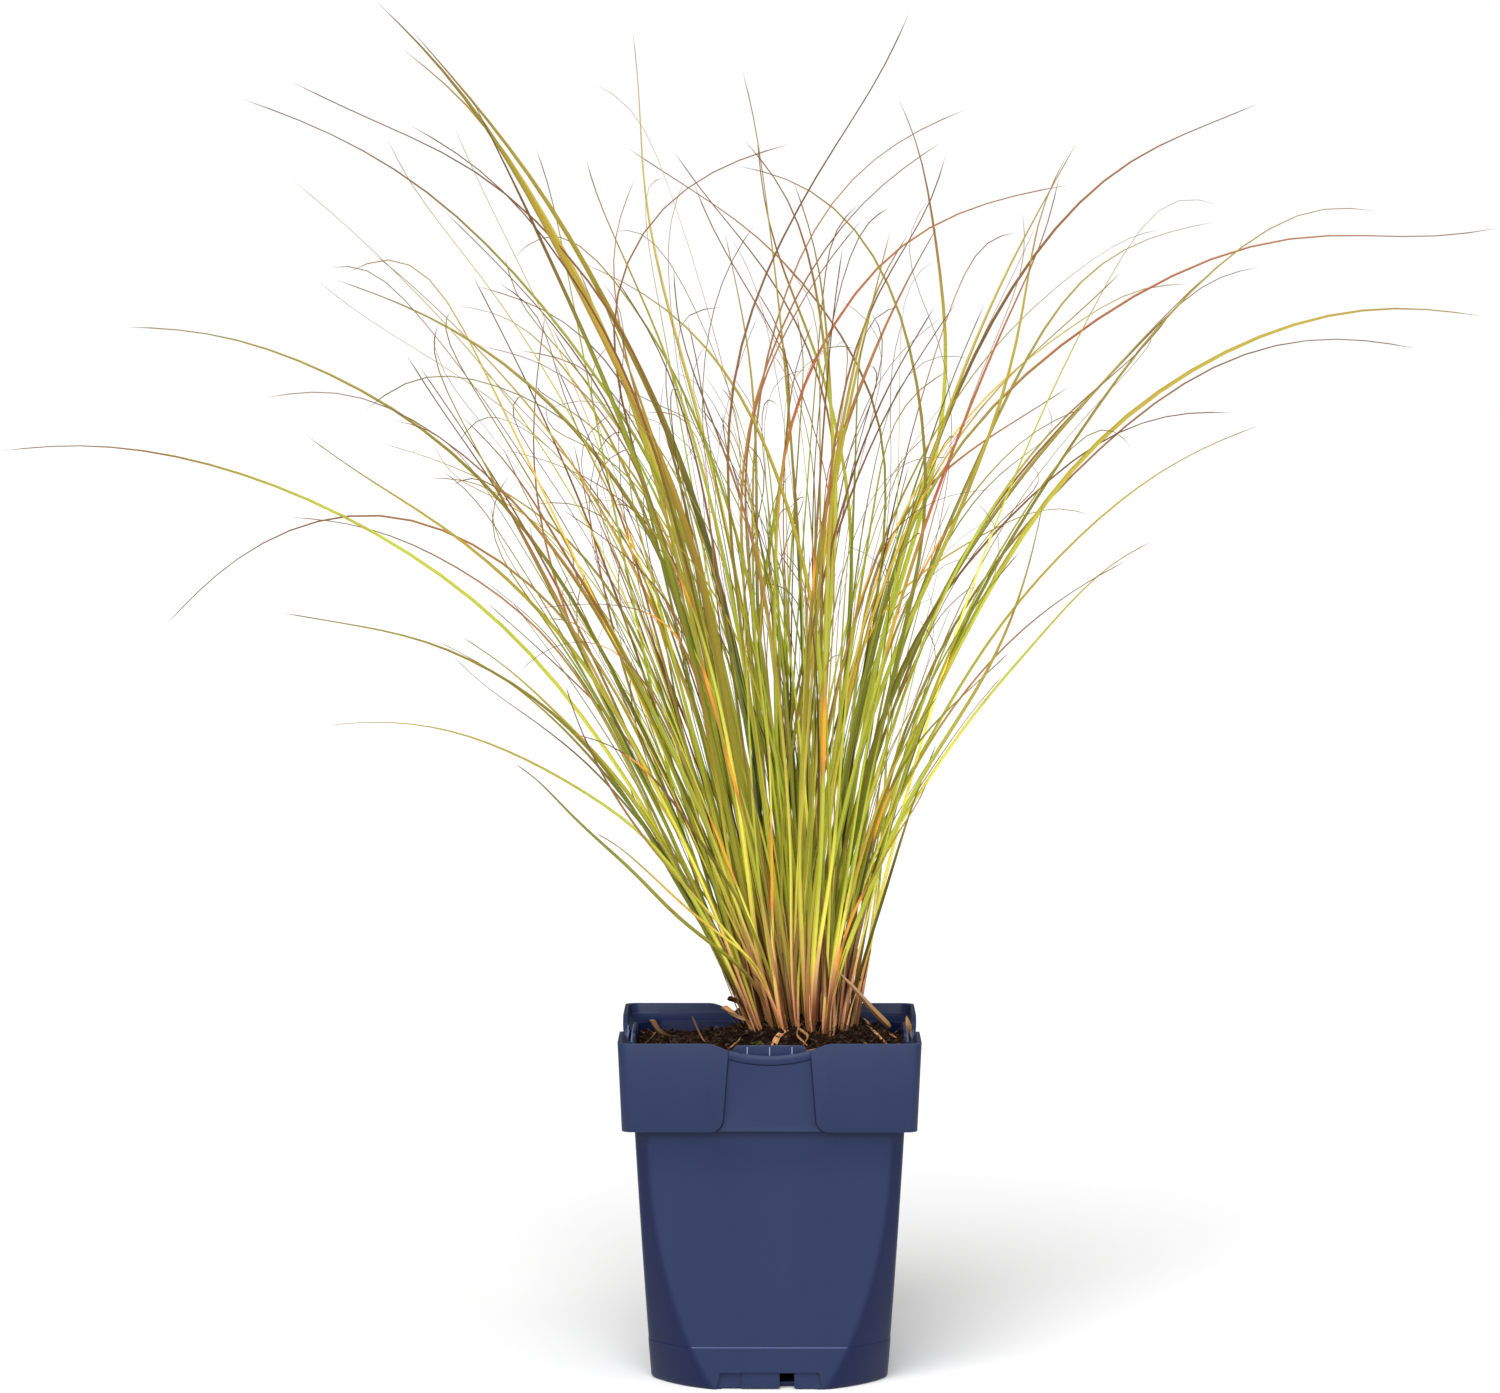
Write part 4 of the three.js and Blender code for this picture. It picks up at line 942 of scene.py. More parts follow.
class Leaf:
    """A leaf to be laid: its course from foot to tip, width, twist, tone and painted numbers."""

    def __init__(self, course, width, tone, rng, brown, taper):
        self.course = np.asarray(course, float)
        self.width = width
        self.tone = tone
        self.brown = brown
        self.taper = taper
        self.tint = rng.random()
        self.twist = rng.uniform(*LEAF_TWIST) * rng.choice((-1, 1))
        self.turn = rng.uniform(*LEAF_TURN) * rng.choice((-1, 1))
        self.flushes = []
        self.faces_front = False

    def spread(self, line, shares):
        """Width and depth of the leaf at each place of its line, as directions."""
        run = line[-1] - line[0]
        side = (1, 0, 0) if self.faces_front else (1e-6 - run[1], run[0], 0)
        sides, ups = directions(line, side)
        turn = (self.twist + self.turn * shares)[:, None]
        narrowing = (1 - shares**self.taper) ** TIP_BLUNTNESS
        narrowing = np.minimum(1, FOOT_SHARE + WIDENING * shares) * narrowing
        width = np.maximum(self.width * narrowing, FINEST_TIP * MM)[:, None]
        flat = sides * np.cos(turn) + ups * np.sin(turn)
        face = ups * np.cos(turn) - sides * np.sin(turn)
        return flat * width, face * width

    def painted(self, from_foot, length):
        """The numbers that are painted on the leaf at distances from its foot."""
        beyond = np.clip((from_foot - self.brown) / max(length - self.brown, MM), 0, 1)
        flush = np.zeros_like(from_foot)
        for centre, reach in self.flushes:
            flush = np.maximum(flush, 1 - ((from_foot - centre) / reach) ** 2)
        return {
            "stage": FOOT_STAGE * np.clip(from_foot / self.brown, 0, 1) + (1 - FOOT_STAGE) * beyond,
            "flush": flush,
            "tint": np.full(len(from_foot), self.tint),
        }


def lay_leaf(template, leaf, name):
    """Copies the blade template and lays it along a leaf's course."""
    blade = copy_of(template, name)
    points = points_of(blade.data)
    ring = np.rint(points[:, 2] * BLADE_RINGS).astype(int)
    shares = 1 - (1 - np.linspace(0, 1, BLADE_RINGS + 1)) ** RING_CROWDING
    line = smooth_line(leaf.course, shares)
    for _ in range(LINE_SMOOTHING):
        line[1:-1] = (line[:-2] + 2 * line[1:-1] + line[2:]) / 4
    wide, deep = leaf.spread(line, shares)
    places = line[ring] + wide[ring] * points[:, :1] + deep[ring] * points[:, 1:2]
    places[ring == BLADE_RINGS] = line[-1]
    move_points(blade.data, places)
    length = steps_of(line).sum()
    for key, values in leaf.painted(shares * length, length).items():
        paint(blade.data, key, values[ring])
    layer = blade.data.uv_layers["Blade"].data
    layer.foreach_set("uv", (values_of(layer, "uv", size=2) * (1, length)).ravel())
    blade.data.materials.append(bpy.data.materials[f"Leaf {leaf.tone}"])
    return blade


def corners_of(node):
    """The corners of a CAD node, merged, and which corners share an edge."""
    mesh = node.data
    corners, index = np.unique(points_of(mesh).astype(np.float32), axis=0, return_inverse=True)
    loops = values_of(mesh.loops, "vertex_index", int)
    near = [set() for _ in corners]
    for triangle in index.ravel()[loops].reshape(-1, 3):
        for corner in triangle:
            near[corner].update(int(other) for other in triangle if other != corner)
    return corners.astype(float), near


def blade_courses(corners, near):
    """Follows each CAD blade from its pointed tip down, three corners at a time."""
    courses = []
    for tip in range(len(corners)):
        if len(near[tip]) != 3:
            continue
        ring, passed, course = {tip}, {tip}, [corners[tip]]
        while True:
            ahead = set().union(*(near[corner] for corner in ring)) - passed
            if len(ahead) != 3:
                break
            passed |= ahead
            ring = ahead
            course.append(corners[sorted(ring)].mean(axis=0))
        if len(course) >= 4:
            courses.append(np.array(course[::-1]))
    return courses


def stem_of(name):
    """Foot, direction and blade courses of a CAD stem."""
    corners, near = corners_of(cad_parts[name])
    courses = blade_courses(corners, near)
    if not courses:
        raise RuntimeError(f"no blade was found on the stem {name}")
    low = corners[np.argsort(corners[:, 2])[:5]]
    axis = np.cross(low[1] - low[0], low[2] - low[0])
    axis *= np.sign(axis[2]) / np.linalg.norm(axis)
    return {"name": name, "foot": low.mean(axis=0), "axis": axis, "courses": courses}


def seen_from_front(points):
    """Where points show on the plane Y = 0 for the photograph's eye, in metres."""
    points = np.atleast_2d(points)
    scale = EYE[1] / (EYE[1] - points[:, 1])
    return (EYE + (points - EYE) * scale[:, None])[:, [0, 2]]


def seen_look(course):
    """The tone and width of a leaf that the photograph shows, or None."""
    tip = seen_from_front(course[-1])[0]
    for x, z, tone, width in SEEN_LEAVES:
        if math.hypot(tip[0] - x * MM, tip[1] - z * MM) < SEEN_TIP_REACH:
            return tone, min(max(width * SEEN_WIDTH_SHARE, THINNEST_SEEN), WIDEST_SEEN) * MM
    return None


def drawn_look(rng):
    """The tone and width of any other leaf, drawn by share."""
    tones, shares, lows, highs = zip(*OTHER_TONES)
    pick = rng.choices(range(len(tones)), shares)[0]
    return tones[pick], rng.uniform(lows[pick], highs[pick]) * MM


def stem_leaves(stem, rng):
    """The leaves that follow the CAD blades of one stem."""
    leaves = []
    for number, course in enumerate(stem["courses"]):
        fan = number * GOLDEN_ANGLE
        aside = np.array([math.cos(fan), math.sin(fan), 0]) * LEAF_FOOT_AWAY
        start = stem["foot"] + aside
        rise = start + stem["axis"] * LEAF_FOOT_RISE + aside * LEAF_FOOT_PARTING
        look = seen_look(course)
        tone, width = look or drawn_look(rng)
        if not look:
            course = curled_end(course, rng)
        taper = SEEN_TAPER if look else OTHER_TAPER
        leaf = Leaf([start, rise, *course], width, tone, rng, rng.uniform(*LEAF_BROWN), taper)
        if look:
            leaf.faces_front = True
            leaf.twist *= SEEN_TWIST_SHARE
            leaf.turn *= SEEN_TURN_SHARE
            leaf.tint = max(leaf.tint, SEEN_TINT_AND_SHADE)
        leaves.append(leaf)
    return leaves


def companion(leaf, rng):
    """A shorter leaf that rises beside another one and parts from it."""
    shares = np.linspace(0, 1, COMPANION_POINTS)
    line = smooth_line(leaf.course, shares * rng.uniform(*COMPANION_LENGTH))
    away = turned(line - line[0], rng.uniform(-COMPANION_TURN, COMPANION_TURN))
    parting, start = (
        metres([rng.gauss(0, spread), rng.gauss(0, spread), 0])
        for spread in (COMPANION_PARTING, COMPANION_START)
    )
    course = line[0] + start + away + parting * shares[:, None]
    tone, width = drawn_look(rng)
    return Leaf(course, width, tone, rng, rng.uniform(*LEAF_BROWN), COMPANION_TAPER)


def paint_flushes(leaves):
    """Gives each orange flush to the leaf nearest the front that passes there."""
    lines = [smooth_line(leaf.course, np.linspace(0, 1, FLUSH_STEPS)) for leaf in leaves]
    for x, z, reach in FLUSHES:
        best = None
        for leaf, line in zip(leaves, lines):
            seen = seen_from_front(line)
            away = np.hypot(seen[:, 0] - x * MM, seen[:, 1] - z * MM)
            place = int(away.argmin())
            if away[place] < FLUSH_REACH and (best is None or line[place, 1] < best[0]):
                best = (line[place, 1], leaf, steps_of(line[:place + 1]).sum())
        if best:
            best[1].flushes.append((best[2], reach * FLUSH_LENGTH * MM))


def slanted(heading, slant):
    """The directions along, beside and above something that points a way and rises at a slant."""
    level = math.cos(slant)
    along = np.array([math.cos(heading) * level, math.sin(heading) * level, math.sin(slant)])
    aside = np.array([-math.sin(heading), math.cos(heading), 0])
    return along, aside, np.cross(along, aside)


def thread_course(stem, rng):
    """The course of a hair-fine old leaf that rises with its stem and curls at the end."""
    length = rng.uniform(*THREAD_LENGTH)
    azimuth = math.atan2(stem["axis"][1], stem["axis"][0])
    azimuth += rng.uniform(-THREAD_HEADING, THREAD_HEADING)
    lean = math.acos(stem["axis"][2]) * rng.uniform(*THREAD_LEAN)
    bend = rng.uniform(*THREAD_BEND)
    curl = rng.uniform(*THREAD_CURL) * rng.choice((-1, 1))
    aside = metres([rng.uniform(-1, 1), rng.uniform(-1, 1), 0]) * THREAD_SCATTER
    course = [stem["foot"] + aside]
    for k in range(THREAD_PIECES):
        share = (k + 0.5) / THREAD_PIECES
        tilt = lean + bend * share**1.6
        heading = azimuth + curl * max(0, share - THREAD_CURL_FROM) * 2
        along, _, _ = slanted(heading, QUARTER_TURN - tilt)
        course.append(course[-1] + along * length / THREAD_PIECES)
    return course


def curled_end(course, rng):
    """Adds a dry curl beyond the end of a course, inside the CAD model's box."""
    place = np.array(course[-1])
    heading = place - course[-2]
    heading /= np.linalg.norm(heading)
    aside = np.cross(heading, [rng.gauss(0, 1) for _ in range(3)])
    aside /= np.linalg.norm(aside)
    turn = rng.uniform(*CURL_TURN)
    reach = rng.uniform(*CURL_STEP) * MM
    ends = []
    for k in range(1, CURL_STEPS + 1):
        angle = turn * k
        place = place + (heading * math.cos(angle) + aside * math.sin(angle)) * reach
        ends.append(place)
    inside = all(CAD_BOX[0][axis] < end[axis] < CAD_BOX[1][axis] for end in ends for axis in range(3))
    return [*course, *ends] if inside else course


def husk_course(leaf, rng, longest):
    """The course of a short dead sheath that hugs the foot of a leaf and parts from it at the top."""
    shares = np.linspace(0, 1, HUSK_POINTS)
    length = rng.uniform(*HUSK_LENGTH) * longest
    line = smooth_line(leaf.course, shares * length / steps_of(leaf.course).sum())
    heading = rng.uniform(0, FULL_TURN)
    aside = np.array([math.cos(heading), math.sin(heading), 0])
    parting = rng.random() ** 4 * HUSK_PARTING
    return line + aside * (HUSK_GAP + parting * shares[:, None] ** 3)


def body_half(z):
    """Half the width across the flat sides of the pot body, in millimetres."""
    return FOOT_HALF + BODY_DRAFT * z


def body_radius(z):
    """Radius that rounds the corners of the pot body, in millimetres."""
    share = 1 - min(z, ROUND_HEIGHT) / ROUND_HEIGHT
    return ROUND_LOW + ROUND_GAIN * (1 - share**ROUND_POWER)


def closed_skin(name, rings):
    """Stretches a grid over rings in millimetres and closes it at its seam and its two ends."""
    ends = [[np.mean(rings[k], axis=0)] * len(rings[0]) for k in (0, -1)]
    rings = np.array([ends[0], *rings, ends[1]]) * MM
    rows, columns = rings.shape[:2]
    piece = add_primitive(
        bpy.ops.mesh.primitive_grid_add, name, x_subdivisions=columns, y_subdivisions=rows - 1, size=1)
    places = points_of(piece.data) + 0.5
    column = np.rint(places[:, 0] * columns).astype(int) % columns
    row = np.rint(places[:, 1] * (rows - 1)).astype(int)
    move_points(piece.data, rings[row, column])
    close_up(piece)
    return piece


def close_up(piece):
    """Merges doubles, drops loose edges and turns all faces outwards."""
    with editing(piece):
        bpy.ops.mesh.remove_doubles(threshold=DOUBLES * MM)
        bpy.ops.mesh.delete_loose()
        bpy.ops.mesh.select_all(action="SELECT")
        bpy.ops.mesh.normals_make_consistent(inside=False)


def soil_height(x, y):
    """Height of the soil at a place, in metres."""
    away = np.hypot(x - CROWN[0], y - CROWN[1])
    mound = SOIL_MOUND * np.exp(-(away / SOIL_MOUND_SPREAD) ** 2)
    aside = ((x - CROWN[0]) / np.maximum(away, MM)) ** 2
    heap = HEAP * aside * np.exp(-((away - HEAP_RADIUS) / HEAP_SPREAD) ** 2)
    ripple = sum(height * np.sin(a * x + b * y + start) for height, a, b, start in SOIL_RIPPLES)
    return SOIL_WALL_Z + mound + heap + ripple


def soil_edge(z, angle):
    """How far the soil reaches at an angle and height, in millimetres."""
    behind_wall = FOOT_HALF - BASE_WALL_INNER + DRAIN_CLEARANCE if z < BASE_WALL_TOP + 1 else 0
    gap = WALL + SOIL_GAP + behind_wall
    flat = (body_half(z) - gap) / max(abs(math.cos(angle)), abs(math.sin(angle)))
    return min(flat, body_radius(z) - gap - SOIL_GAP)


def on_soil(angle, share, most=1):
    """A place on the soil in metres, at a share of the way from the crown to near its wall."""
    reach = soil_edge(SOIL_WALL_Z / MM, angle) * share * most * MM
    x, y = np.array([math.cos(angle), math.sin(angle)]) * reach + CROWN * (1 - share)
    return np.array([x, y, soil_height(x, y)])


def soil_rings():
    """Rings of the soil in millimetres: up its wall, then over its rough top to the crown."""
    angles = [(k + 0.5) / SOIL_COLUMNS * FULL_TURN for k in range(SOIL_COLUMNS)]
    rings = [
        [(soil_edge(z, a) * math.cos(a), soil_edge(z, a) * math.sin(a), z) for a in angles]
        for z in SOIL_HEIGHTS
    ]
    for k in range(SOIL_RINGS):
        ring = []
        for angle in angles:
            place = on_soil(angle, 1 - k / SOIL_RINGS) / MM
            rough = sum(height * noise.noise(Vector(place) * fine) for height, fine in SOIL_ROUGHNESS)
            ring.append(place + (0, 0, rough))
        rings.append(ring)
    return rings


def strewn_place(rng):
    """A place on the soil, drawn so that more lie towards the wall."""
    return on_soil(rng.uniform(0, FULL_TURN), rng.random() ** STREWN_CROWDING, STREWN_REACH)


def crumb_template():
    """A small lump with a few uneven faces."""
    crumb = add_primitive(
        bpy.ops.mesh.primitive_ico_sphere_add, "crumb_template", subdivisions=1, radius=1)
    with editing(crumb):
        bpy.ops.transform.vertex_random(offset=CRUMB_UNEVENNESS, seed=CRUMB_SEED)
    return crumb


def fibre_template():
    """A short three-sided fibre drawn out in a few steps."""
    fibre = add_primitive(
        bpy.ops.mesh.primitive_circle_add, "fibre_template",
        vertices=3, radius=FIBRE_RADIUS, fill_type="NGON")
    with editing(fibre):
        draw_out(FIBRE_STEPS)
        bpy.ops.mesh.select_all(action="SELECT")
        bpy.ops.mesh.normals_make_consistent(inside=False)
    return fibre


def scatter(template, count, rng, place, name):
    """One mesh of many copies of a template, each put where a rule says."""
    points = points_of(template.data)
    copies = [copy_of(template, f"{name}_{k}") for k in range(count)]
    for copy in copies:
        move_points(copy.data, place(points, rng))
    return join(copies, name)


def turned_at_random(points, rng):
    """Points turned about the origin in a random way."""
    x, y, z, w = Vector([rng.gauss(0, 1) for _ in range(4)]).normalized()
    matrix = np.array([
        [1 - 2 * (y * y + z * z), 2 * (x * y - z * w), 2 * (x * z + y * w)],
        [2 * (x * y + z * w), 1 - 2 * (x * x + z * z), 2 * (y * z - x * w)],
        [2 * (x * z - y * w), 2 * (y * z + x * w), 1 - 2 * (x * x + y * y)],
    ])
    return points @ matrix.T


def crumb_place(points, rng):
    """Lays one crumb half sunk in the soil."""
    size = rng.choice(CRUMB_SIZES) * MM
    stretch = np.array([rng.uniform(*spread) for spread in CRUMB_STRETCH])
    spot = strewn_place(rng)
    return turned_at_random(points * stretch * size, rng) + spot + (0, 0, rng.uniform(*CRUMB_LIFT) * size)


def fibre_place(points, rng):
    """Lays one fibre on the soil, at a slant."""
    length, width = rng.uniform(*FIBRE_LENGTH) * MM, rng.uniform(*FIBRE_WIDTH) * MM
    along, aside, above = slanted(rng.uniform(0, FULL_TURN), rng.uniform(*FIBRE_SLANT))
    x, y, share = points[:, :1] * width, points[:, 1:2] * width, points[:, 2:]
    x = x + rng.uniform(-FIBRE_BOW, FIBRE_BOW) * length * np.sin(share * math.pi)
    return strewn_place(rng) + along * length * share + aside * x + above * y


def wisp_place(points, rng):
    """Stands one frayed root wisp round the foot of the clump."""
    heading = rng.uniform(0, FULL_TURN)
    away = rng.uniform(*WISP_RING)
    x, y = CROWN + away * np.array([math.cos(heading), math.sin(heading)])
    foot = np.array([x, y, soil_height(x, y) - MM])
    heading += rng.uniform(-WISP_TURN, WISP_TURN)
    along, aside, above = slanted(heading, rng.uniform(*WISP_SLANT))
    length, width = rng.uniform(*WISP_LENGTH) * MM, rng.uniform(*WISP_WIDTH) * MM
    share = points[:, 2:]
    width = width * (1 - WISP_NARROWING * share)
    bend = rng.uniform(-WISP_BEND, WISP_BEND) * length * share**2
    x, y = points[:, :1] * width + bend, points[:, 1:2] * width * WISP_THICKNESS
    return foot + along * length * share + aside * x + above * y


def moss_place(points, rng):
    """Lays one leaflet of moss in its tuft."""
    aside = metres([rng.gauss(0, MOSS_SPREAD), rng.gauss(0, MOSS_SPREAD), rng.uniform(-1, 1)])
    leaflet = points * MOSS_LEAFLET * rng.uniform(*MOSS_SIZES) * MM
    return turned_at_random(leaflet, rng) + metres(MOSS_MIDDLE) + aside


def straw_course(node, rise_first, rise_last):
    """The course of a dead leaf end, along its CAD straw."""
    corners, _ = corners_of(node)
    flat = (corners - corners.mean(axis=0))[:, :2]
    _, _, axes = np.linalg.svd(flat, full_matrices=False)
    order = np.argsort(flat @ axes[0] * np.sign(axes[0][0]))
    course = []
    for k, part in enumerate(np.array_split(order, STRAW_POINTS)):
        share = k / (STRAW_POINTS - 1)
        lift = (rise_first * (1 - share) ** 2 + rise_last * share**2) * MM
        course.append(corners[part].mean(axis=0) + (0, 0, lift))
    return course


def on_four_corners(z, quarter):
    """A ring at height z that repeats the places of one quarter, anticlockwise from above."""
    ring = [turned([(x, y, z) for x, y in quarter], turn * QUARTER_TURN) for turn in range(4)]
    return np.concatenate(ring)


def body_ring(z, inset=0):
    """Ring of the pot body, with a soft crease where flat and round meet."""
    half, radius = body_half(z) - inset, body_radius(z) - inset
    crease = math.acos(half / radius)
    aside = [math.atan2(half * math.tan(crease) - step, half) for step in CREASE_STEPS]
    arc = [crease + k / CORNER_STEPS * (QUARTER_TURN - 2 * crease) for k in range(CORNER_STEPS + 1)]
    quarter = []
    for angle in (*aside, *arc, *(QUARTER_TURN - angle for angle in reversed(aside))):
        flat = half / max(math.cos(angle), math.sin(angle))
        away = radius - flat
        softened = flat - CREASE_SOFTNESS * math.log1p(math.exp(-away / CREASE_SOFTNESS))
        quarter.append((softened * math.cos(angle), softened * math.sin(angle)))
    return on_four_corners(z, quarter)


def collar_ring(z, half):
    """Ring of the collar: a square with rounded corners."""
    centre = half - COLLAR_CORNER
    arc = [k / CORNER_STEPS * QUARTER_TURN for k in range(CORNER_STEPS + 1)]
    quarter = [(half, centre - step) for step in CREASE_STEPS]
    quarter += [(centre + COLLAR_CORNER * math.cos(a), centre + COLLAR_CORNER * math.sin(a)) for a in arc]
    quarter += [(centre - step, half) for step in reversed(CREASE_STEPS)]
    return on_four_corners(z, quarter)


def collar_half(z):
    """Half the width across the collar's corner panels at a height, in millimetres."""
    share = (z - COLLAR_LOW_Z) / (POT_HEIGHT - COLLAR_LOW_Z)
    return COLLAR_HALF_LOW + (COLLAR_HALF - COLLAR_HALF_LOW) * share


def pot_rings():
    """Rings of the pot from the edge of its underside over the rim to the edge of its floor inside."""
    return [
        body_ring(0, FOOT_ROUNDING[0]),
        *(body_ring(z, FOOT_ROUNDING.get(z, -LEDGE if z < LEDGE_Z else 0)) for z in BODY_HEIGHTS),
        body_ring(COLLAR_ROOT_Z - COLLAR_WALL),
        collar_ring(COLLAR_ROOT_Z, collar_half(COLLAR_ROOT_Z) - COLLAR_WALL),
        collar_ring(COLLAR_LOW_Z, COLLAR_HALF_LOW - COLLAR_WALL),
        collar_ring(COLLAR_LOW_Z, COLLAR_HALF_LOW),
        *(collar_ring(POT_HEIGHT - down, COLLAR_HALF - inwards) for down, inwards in RIM_PROFILE),
        body_ring(POT_HEIGHT - RIM_DEPTH, WALL),
        *(body_ring(z, WALL) for z in INNER_HEIGHTS),
    ]


def prism(name, outline, outer, inner):
    """A solid drawn inwards from an outline of (x, z), between two distances in front of the middle.

    The distances, in millimetres, are numbers or functions of z.
    """
    piece = add_primitive(
        bpy.ops.mesh.primitive_circle_add, name, vertices=len(outline), fill_type="NGON")
    move_points(piece.data, [(x, 0, z) for x, z in outline])
    with editing(piece):
        bpy.ops.mesh.extrude_region_move(TRANSFORM_OT_translate={"value": (0, 1, 0)})
    points = points_of(piece.data)
    depth = [[side(z) if callable(side) else side for z in points[:, 2]] for side in (outer, inner)]
    points[:, 1] = -np.where(points[:, 1] < 0.5, *depth)
    move_points(piece.data, points * MM)
    close_up(piece)
    return piece


def on_four_sides(piece):
    """Repeats a solid on the four sides of the pot, as one object."""
    copies = [piece]
    for turn in range(1, 4):
        copy = copy_of(piece, f"{piece.name}_{turn}")
        move_points(copy.data, turned(points_of(copy.data), turn * QUARTER_TURN))
        copies.append(copy)
    return join(copies, piece.name)


def combine(piece, tool, operation):
    """Cuts a solid from a piece or adds it, on all four sides, and removes the tool."""
    sides = on_four_sides(tool)
    apply_modifier(piece, "BOOLEAN", operation=operation, object=sides, solver="EXACT")
    if not piece.data.polygons:
        raise RuntimeError(f"nothing is left of {piece.name} after {sides.name}")
    discard(sides)


def below_face(depth):
    """The distance of a place behind the face of the collar's corner panels, for any height."""
    return lambda z: collar_half(z) - depth


def box_outline(x_low, x_high, z_low, z_high):
    """The outline of an upright rectangle."""
    return [(x_low, z_low), (x_high, z_low), (x_high, z_high), (x_low, z_high)]


def both_halves(right):
    """Completes an outline of (x, z) that gives the right half from the bottom up."""
    return right + [(-x, z) for x, z in reversed(right) if x > 0]


def panel_outline(inset=0, low=-OVERCUT):
    """The middle panel of the collar, flared where the corner panels are rounded.

    It starts at a height against the collar's low edge, and may be drawn narrower.
    """
    slope = (PANEL_HALF_LOW - PANEL_HALF_TOP) / (POT_HEIGHT - COLLAR_LOW_Z)
    radius = PANEL_FOOT_CURVE + inset
    first = math.acos(min(1, (PANEL_FOOT_CURVE - max(low, 0)) / radius))
    right = [(PANEL_HALF_LOW + PANEL_FOOT_CURVE - radius * math.sin(first), COLLAR_LOW_Z + low)]
    for k in range(PANEL_CURVE_STEPS + 1):
        angle = first + k / PANEL_CURVE_STEPS * (QUARTER_TURN - first)
        rise = PANEL_FOOT_CURVE - radius * math.cos(angle)
        half = PANEL_HALF_LOW - slope * rise + PANEL_FOOT_CURVE - radius * math.sin(angle)
        if k or low < 0:
            right.append((half, COLLAR_LOW_Z + rise))
    right.append((PANEL_HALF_TOP - slope - inset, POT_HEIGHT + OVERCUT))
    return both_halves(right)


def dip_arc(radius, first=0):
    """Places (x, z) along an arc round the centre of the dip's, up to the dip's right end."""
    places = [DIP_ARC_HALF * k / DIP_ARC_STEPS for k in range(first, DIP_ARC_STEPS + 1)]
    return [(x, DIP_ARC_CENTRE - math.sqrt(radius**2 - x**2)) for x in places]


def dip_outline():
    """What is cut away above a middle panel."""
    right = dip_arc(DIP_ARC_RADIUS)
    low = right[-1][1]
    for k in range(1, DIP_SLOPE_STEPS + 1):
        share = k / DIP_SLOPE_STEPS
        rise = math.sin(share * QUARTER_TURN) ** DIP_SLOPE_POWER
        x = DIP_ARC_HALF + (DIP_START - DIP_ARC_HALF) * share
        right.append((x, low + (POT_HEIGHT - low) * rise))
    right.append((DIP_START, POT_HEIGHT + 2 * OVERCUT))
    return both_halves(right)


def groove_outline():
    """The fine groove that follows the underside of a panel's lip."""
    top = DIP_ARC_RADIUS + 2 * LIP_HALF_HEIGHT - LIP_GROOVE_RISE
    return dip_arc(top + LIP_GROOVE, -DIP_ARC_STEPS) + dip_arc(top, -DIP_ARC_STEPS)[::-1]


def tab_outline():
    """The wall behind a label slot, with rounded shoulders."""
    right = [(TAB_HALF, TAB_LOW_Z)]
    for k in range(TAB_CORNER_STEPS + 1):
        angle = k / TAB_CORNER_STEPS * QUARTER_TURN
        inwards, down = TAB_CORNER * (1 - math.cos(angle)), TAB_CORNER * (1 - math.sin(angle))
        right.append((TAB_HALF - inwards, TAB_TOP - down))
    return both_halves(right)


def panel_lip():
    """The rounded lip along the dip of a middle panel, swung round the centre of its arc."""
    reach = math.asin(DIP_ARC_HALF / DIP_ARC_RADIUS)
    face = collar_half(POT_HEIGHT - DIP_ARC_DROP) - PANEL_RECESS - LIP_HALF_DEPTH + LIP_PROUD
    lip = add_primitive(
        bpy.ops.mesh.primitive_circle_add, "panel_lip", vertices=LIP_SIDES, fill_type="NGON")
    deep, high, _ = points_of(lip.data).T
    away = DIP_ARC_RADIUS + LIP_HALF_HEIGHT - LIP_RISE - LIP_HALF_HEIGHT * high
    move_points(lip.data, metres(np.column_stack([
        away * math.sin(reach), LIP_HALF_DEPTH * deep - face, DIP_ARC_CENTRE - away * math.cos(reach),
    ])))
    with editing(lip):
        bpy.ops.mesh.spin(
            steps=LIP_STEPS, angle=2 * reach, center=(0, 0, DIP_ARC_CENTRE * MM), axis=(0, -1, 0))
    close_up(lip)
    return lip


def round_edges(piece, width):
    """Rounds the sharp edges, apart from those that end beside an edge too short for it."""
    with editing(piece):
        bpy.ops.mesh.select_mode(type="EDGE")
        bpy.ops.mesh.select_all(action="DESELECT")
        bpy.ops.mesh.edges_select_sharp(sharpness=SHARP)
    ends = values_of(piece.data.edges, "vertices", int, 2)
    sharp = values_of(piece.data.edges, "select", bool)
    points = points_of(piece.data)
    lengths = np.linalg.norm(points[ends[:, 0]] - points[ends[:, 1]], axis=1)
    shortest = np.full(len(points), np.inf)
    np.minimum.at(shortest, ends.ravel(), np.repeat(lengths, 2))
    rounded = sharp & (shortest[ends].min(axis=1) > SHORTEST_ROUNDED * width)
    paint(piece.data, "bevel_weight_edge", rounded, "EDGE")
    # The rounded faces get the second material, the painted edge highlight.
    apply_modifier(piece, "BEVEL", width=width, segments=2, limit_method="WEIGHT", material=1)


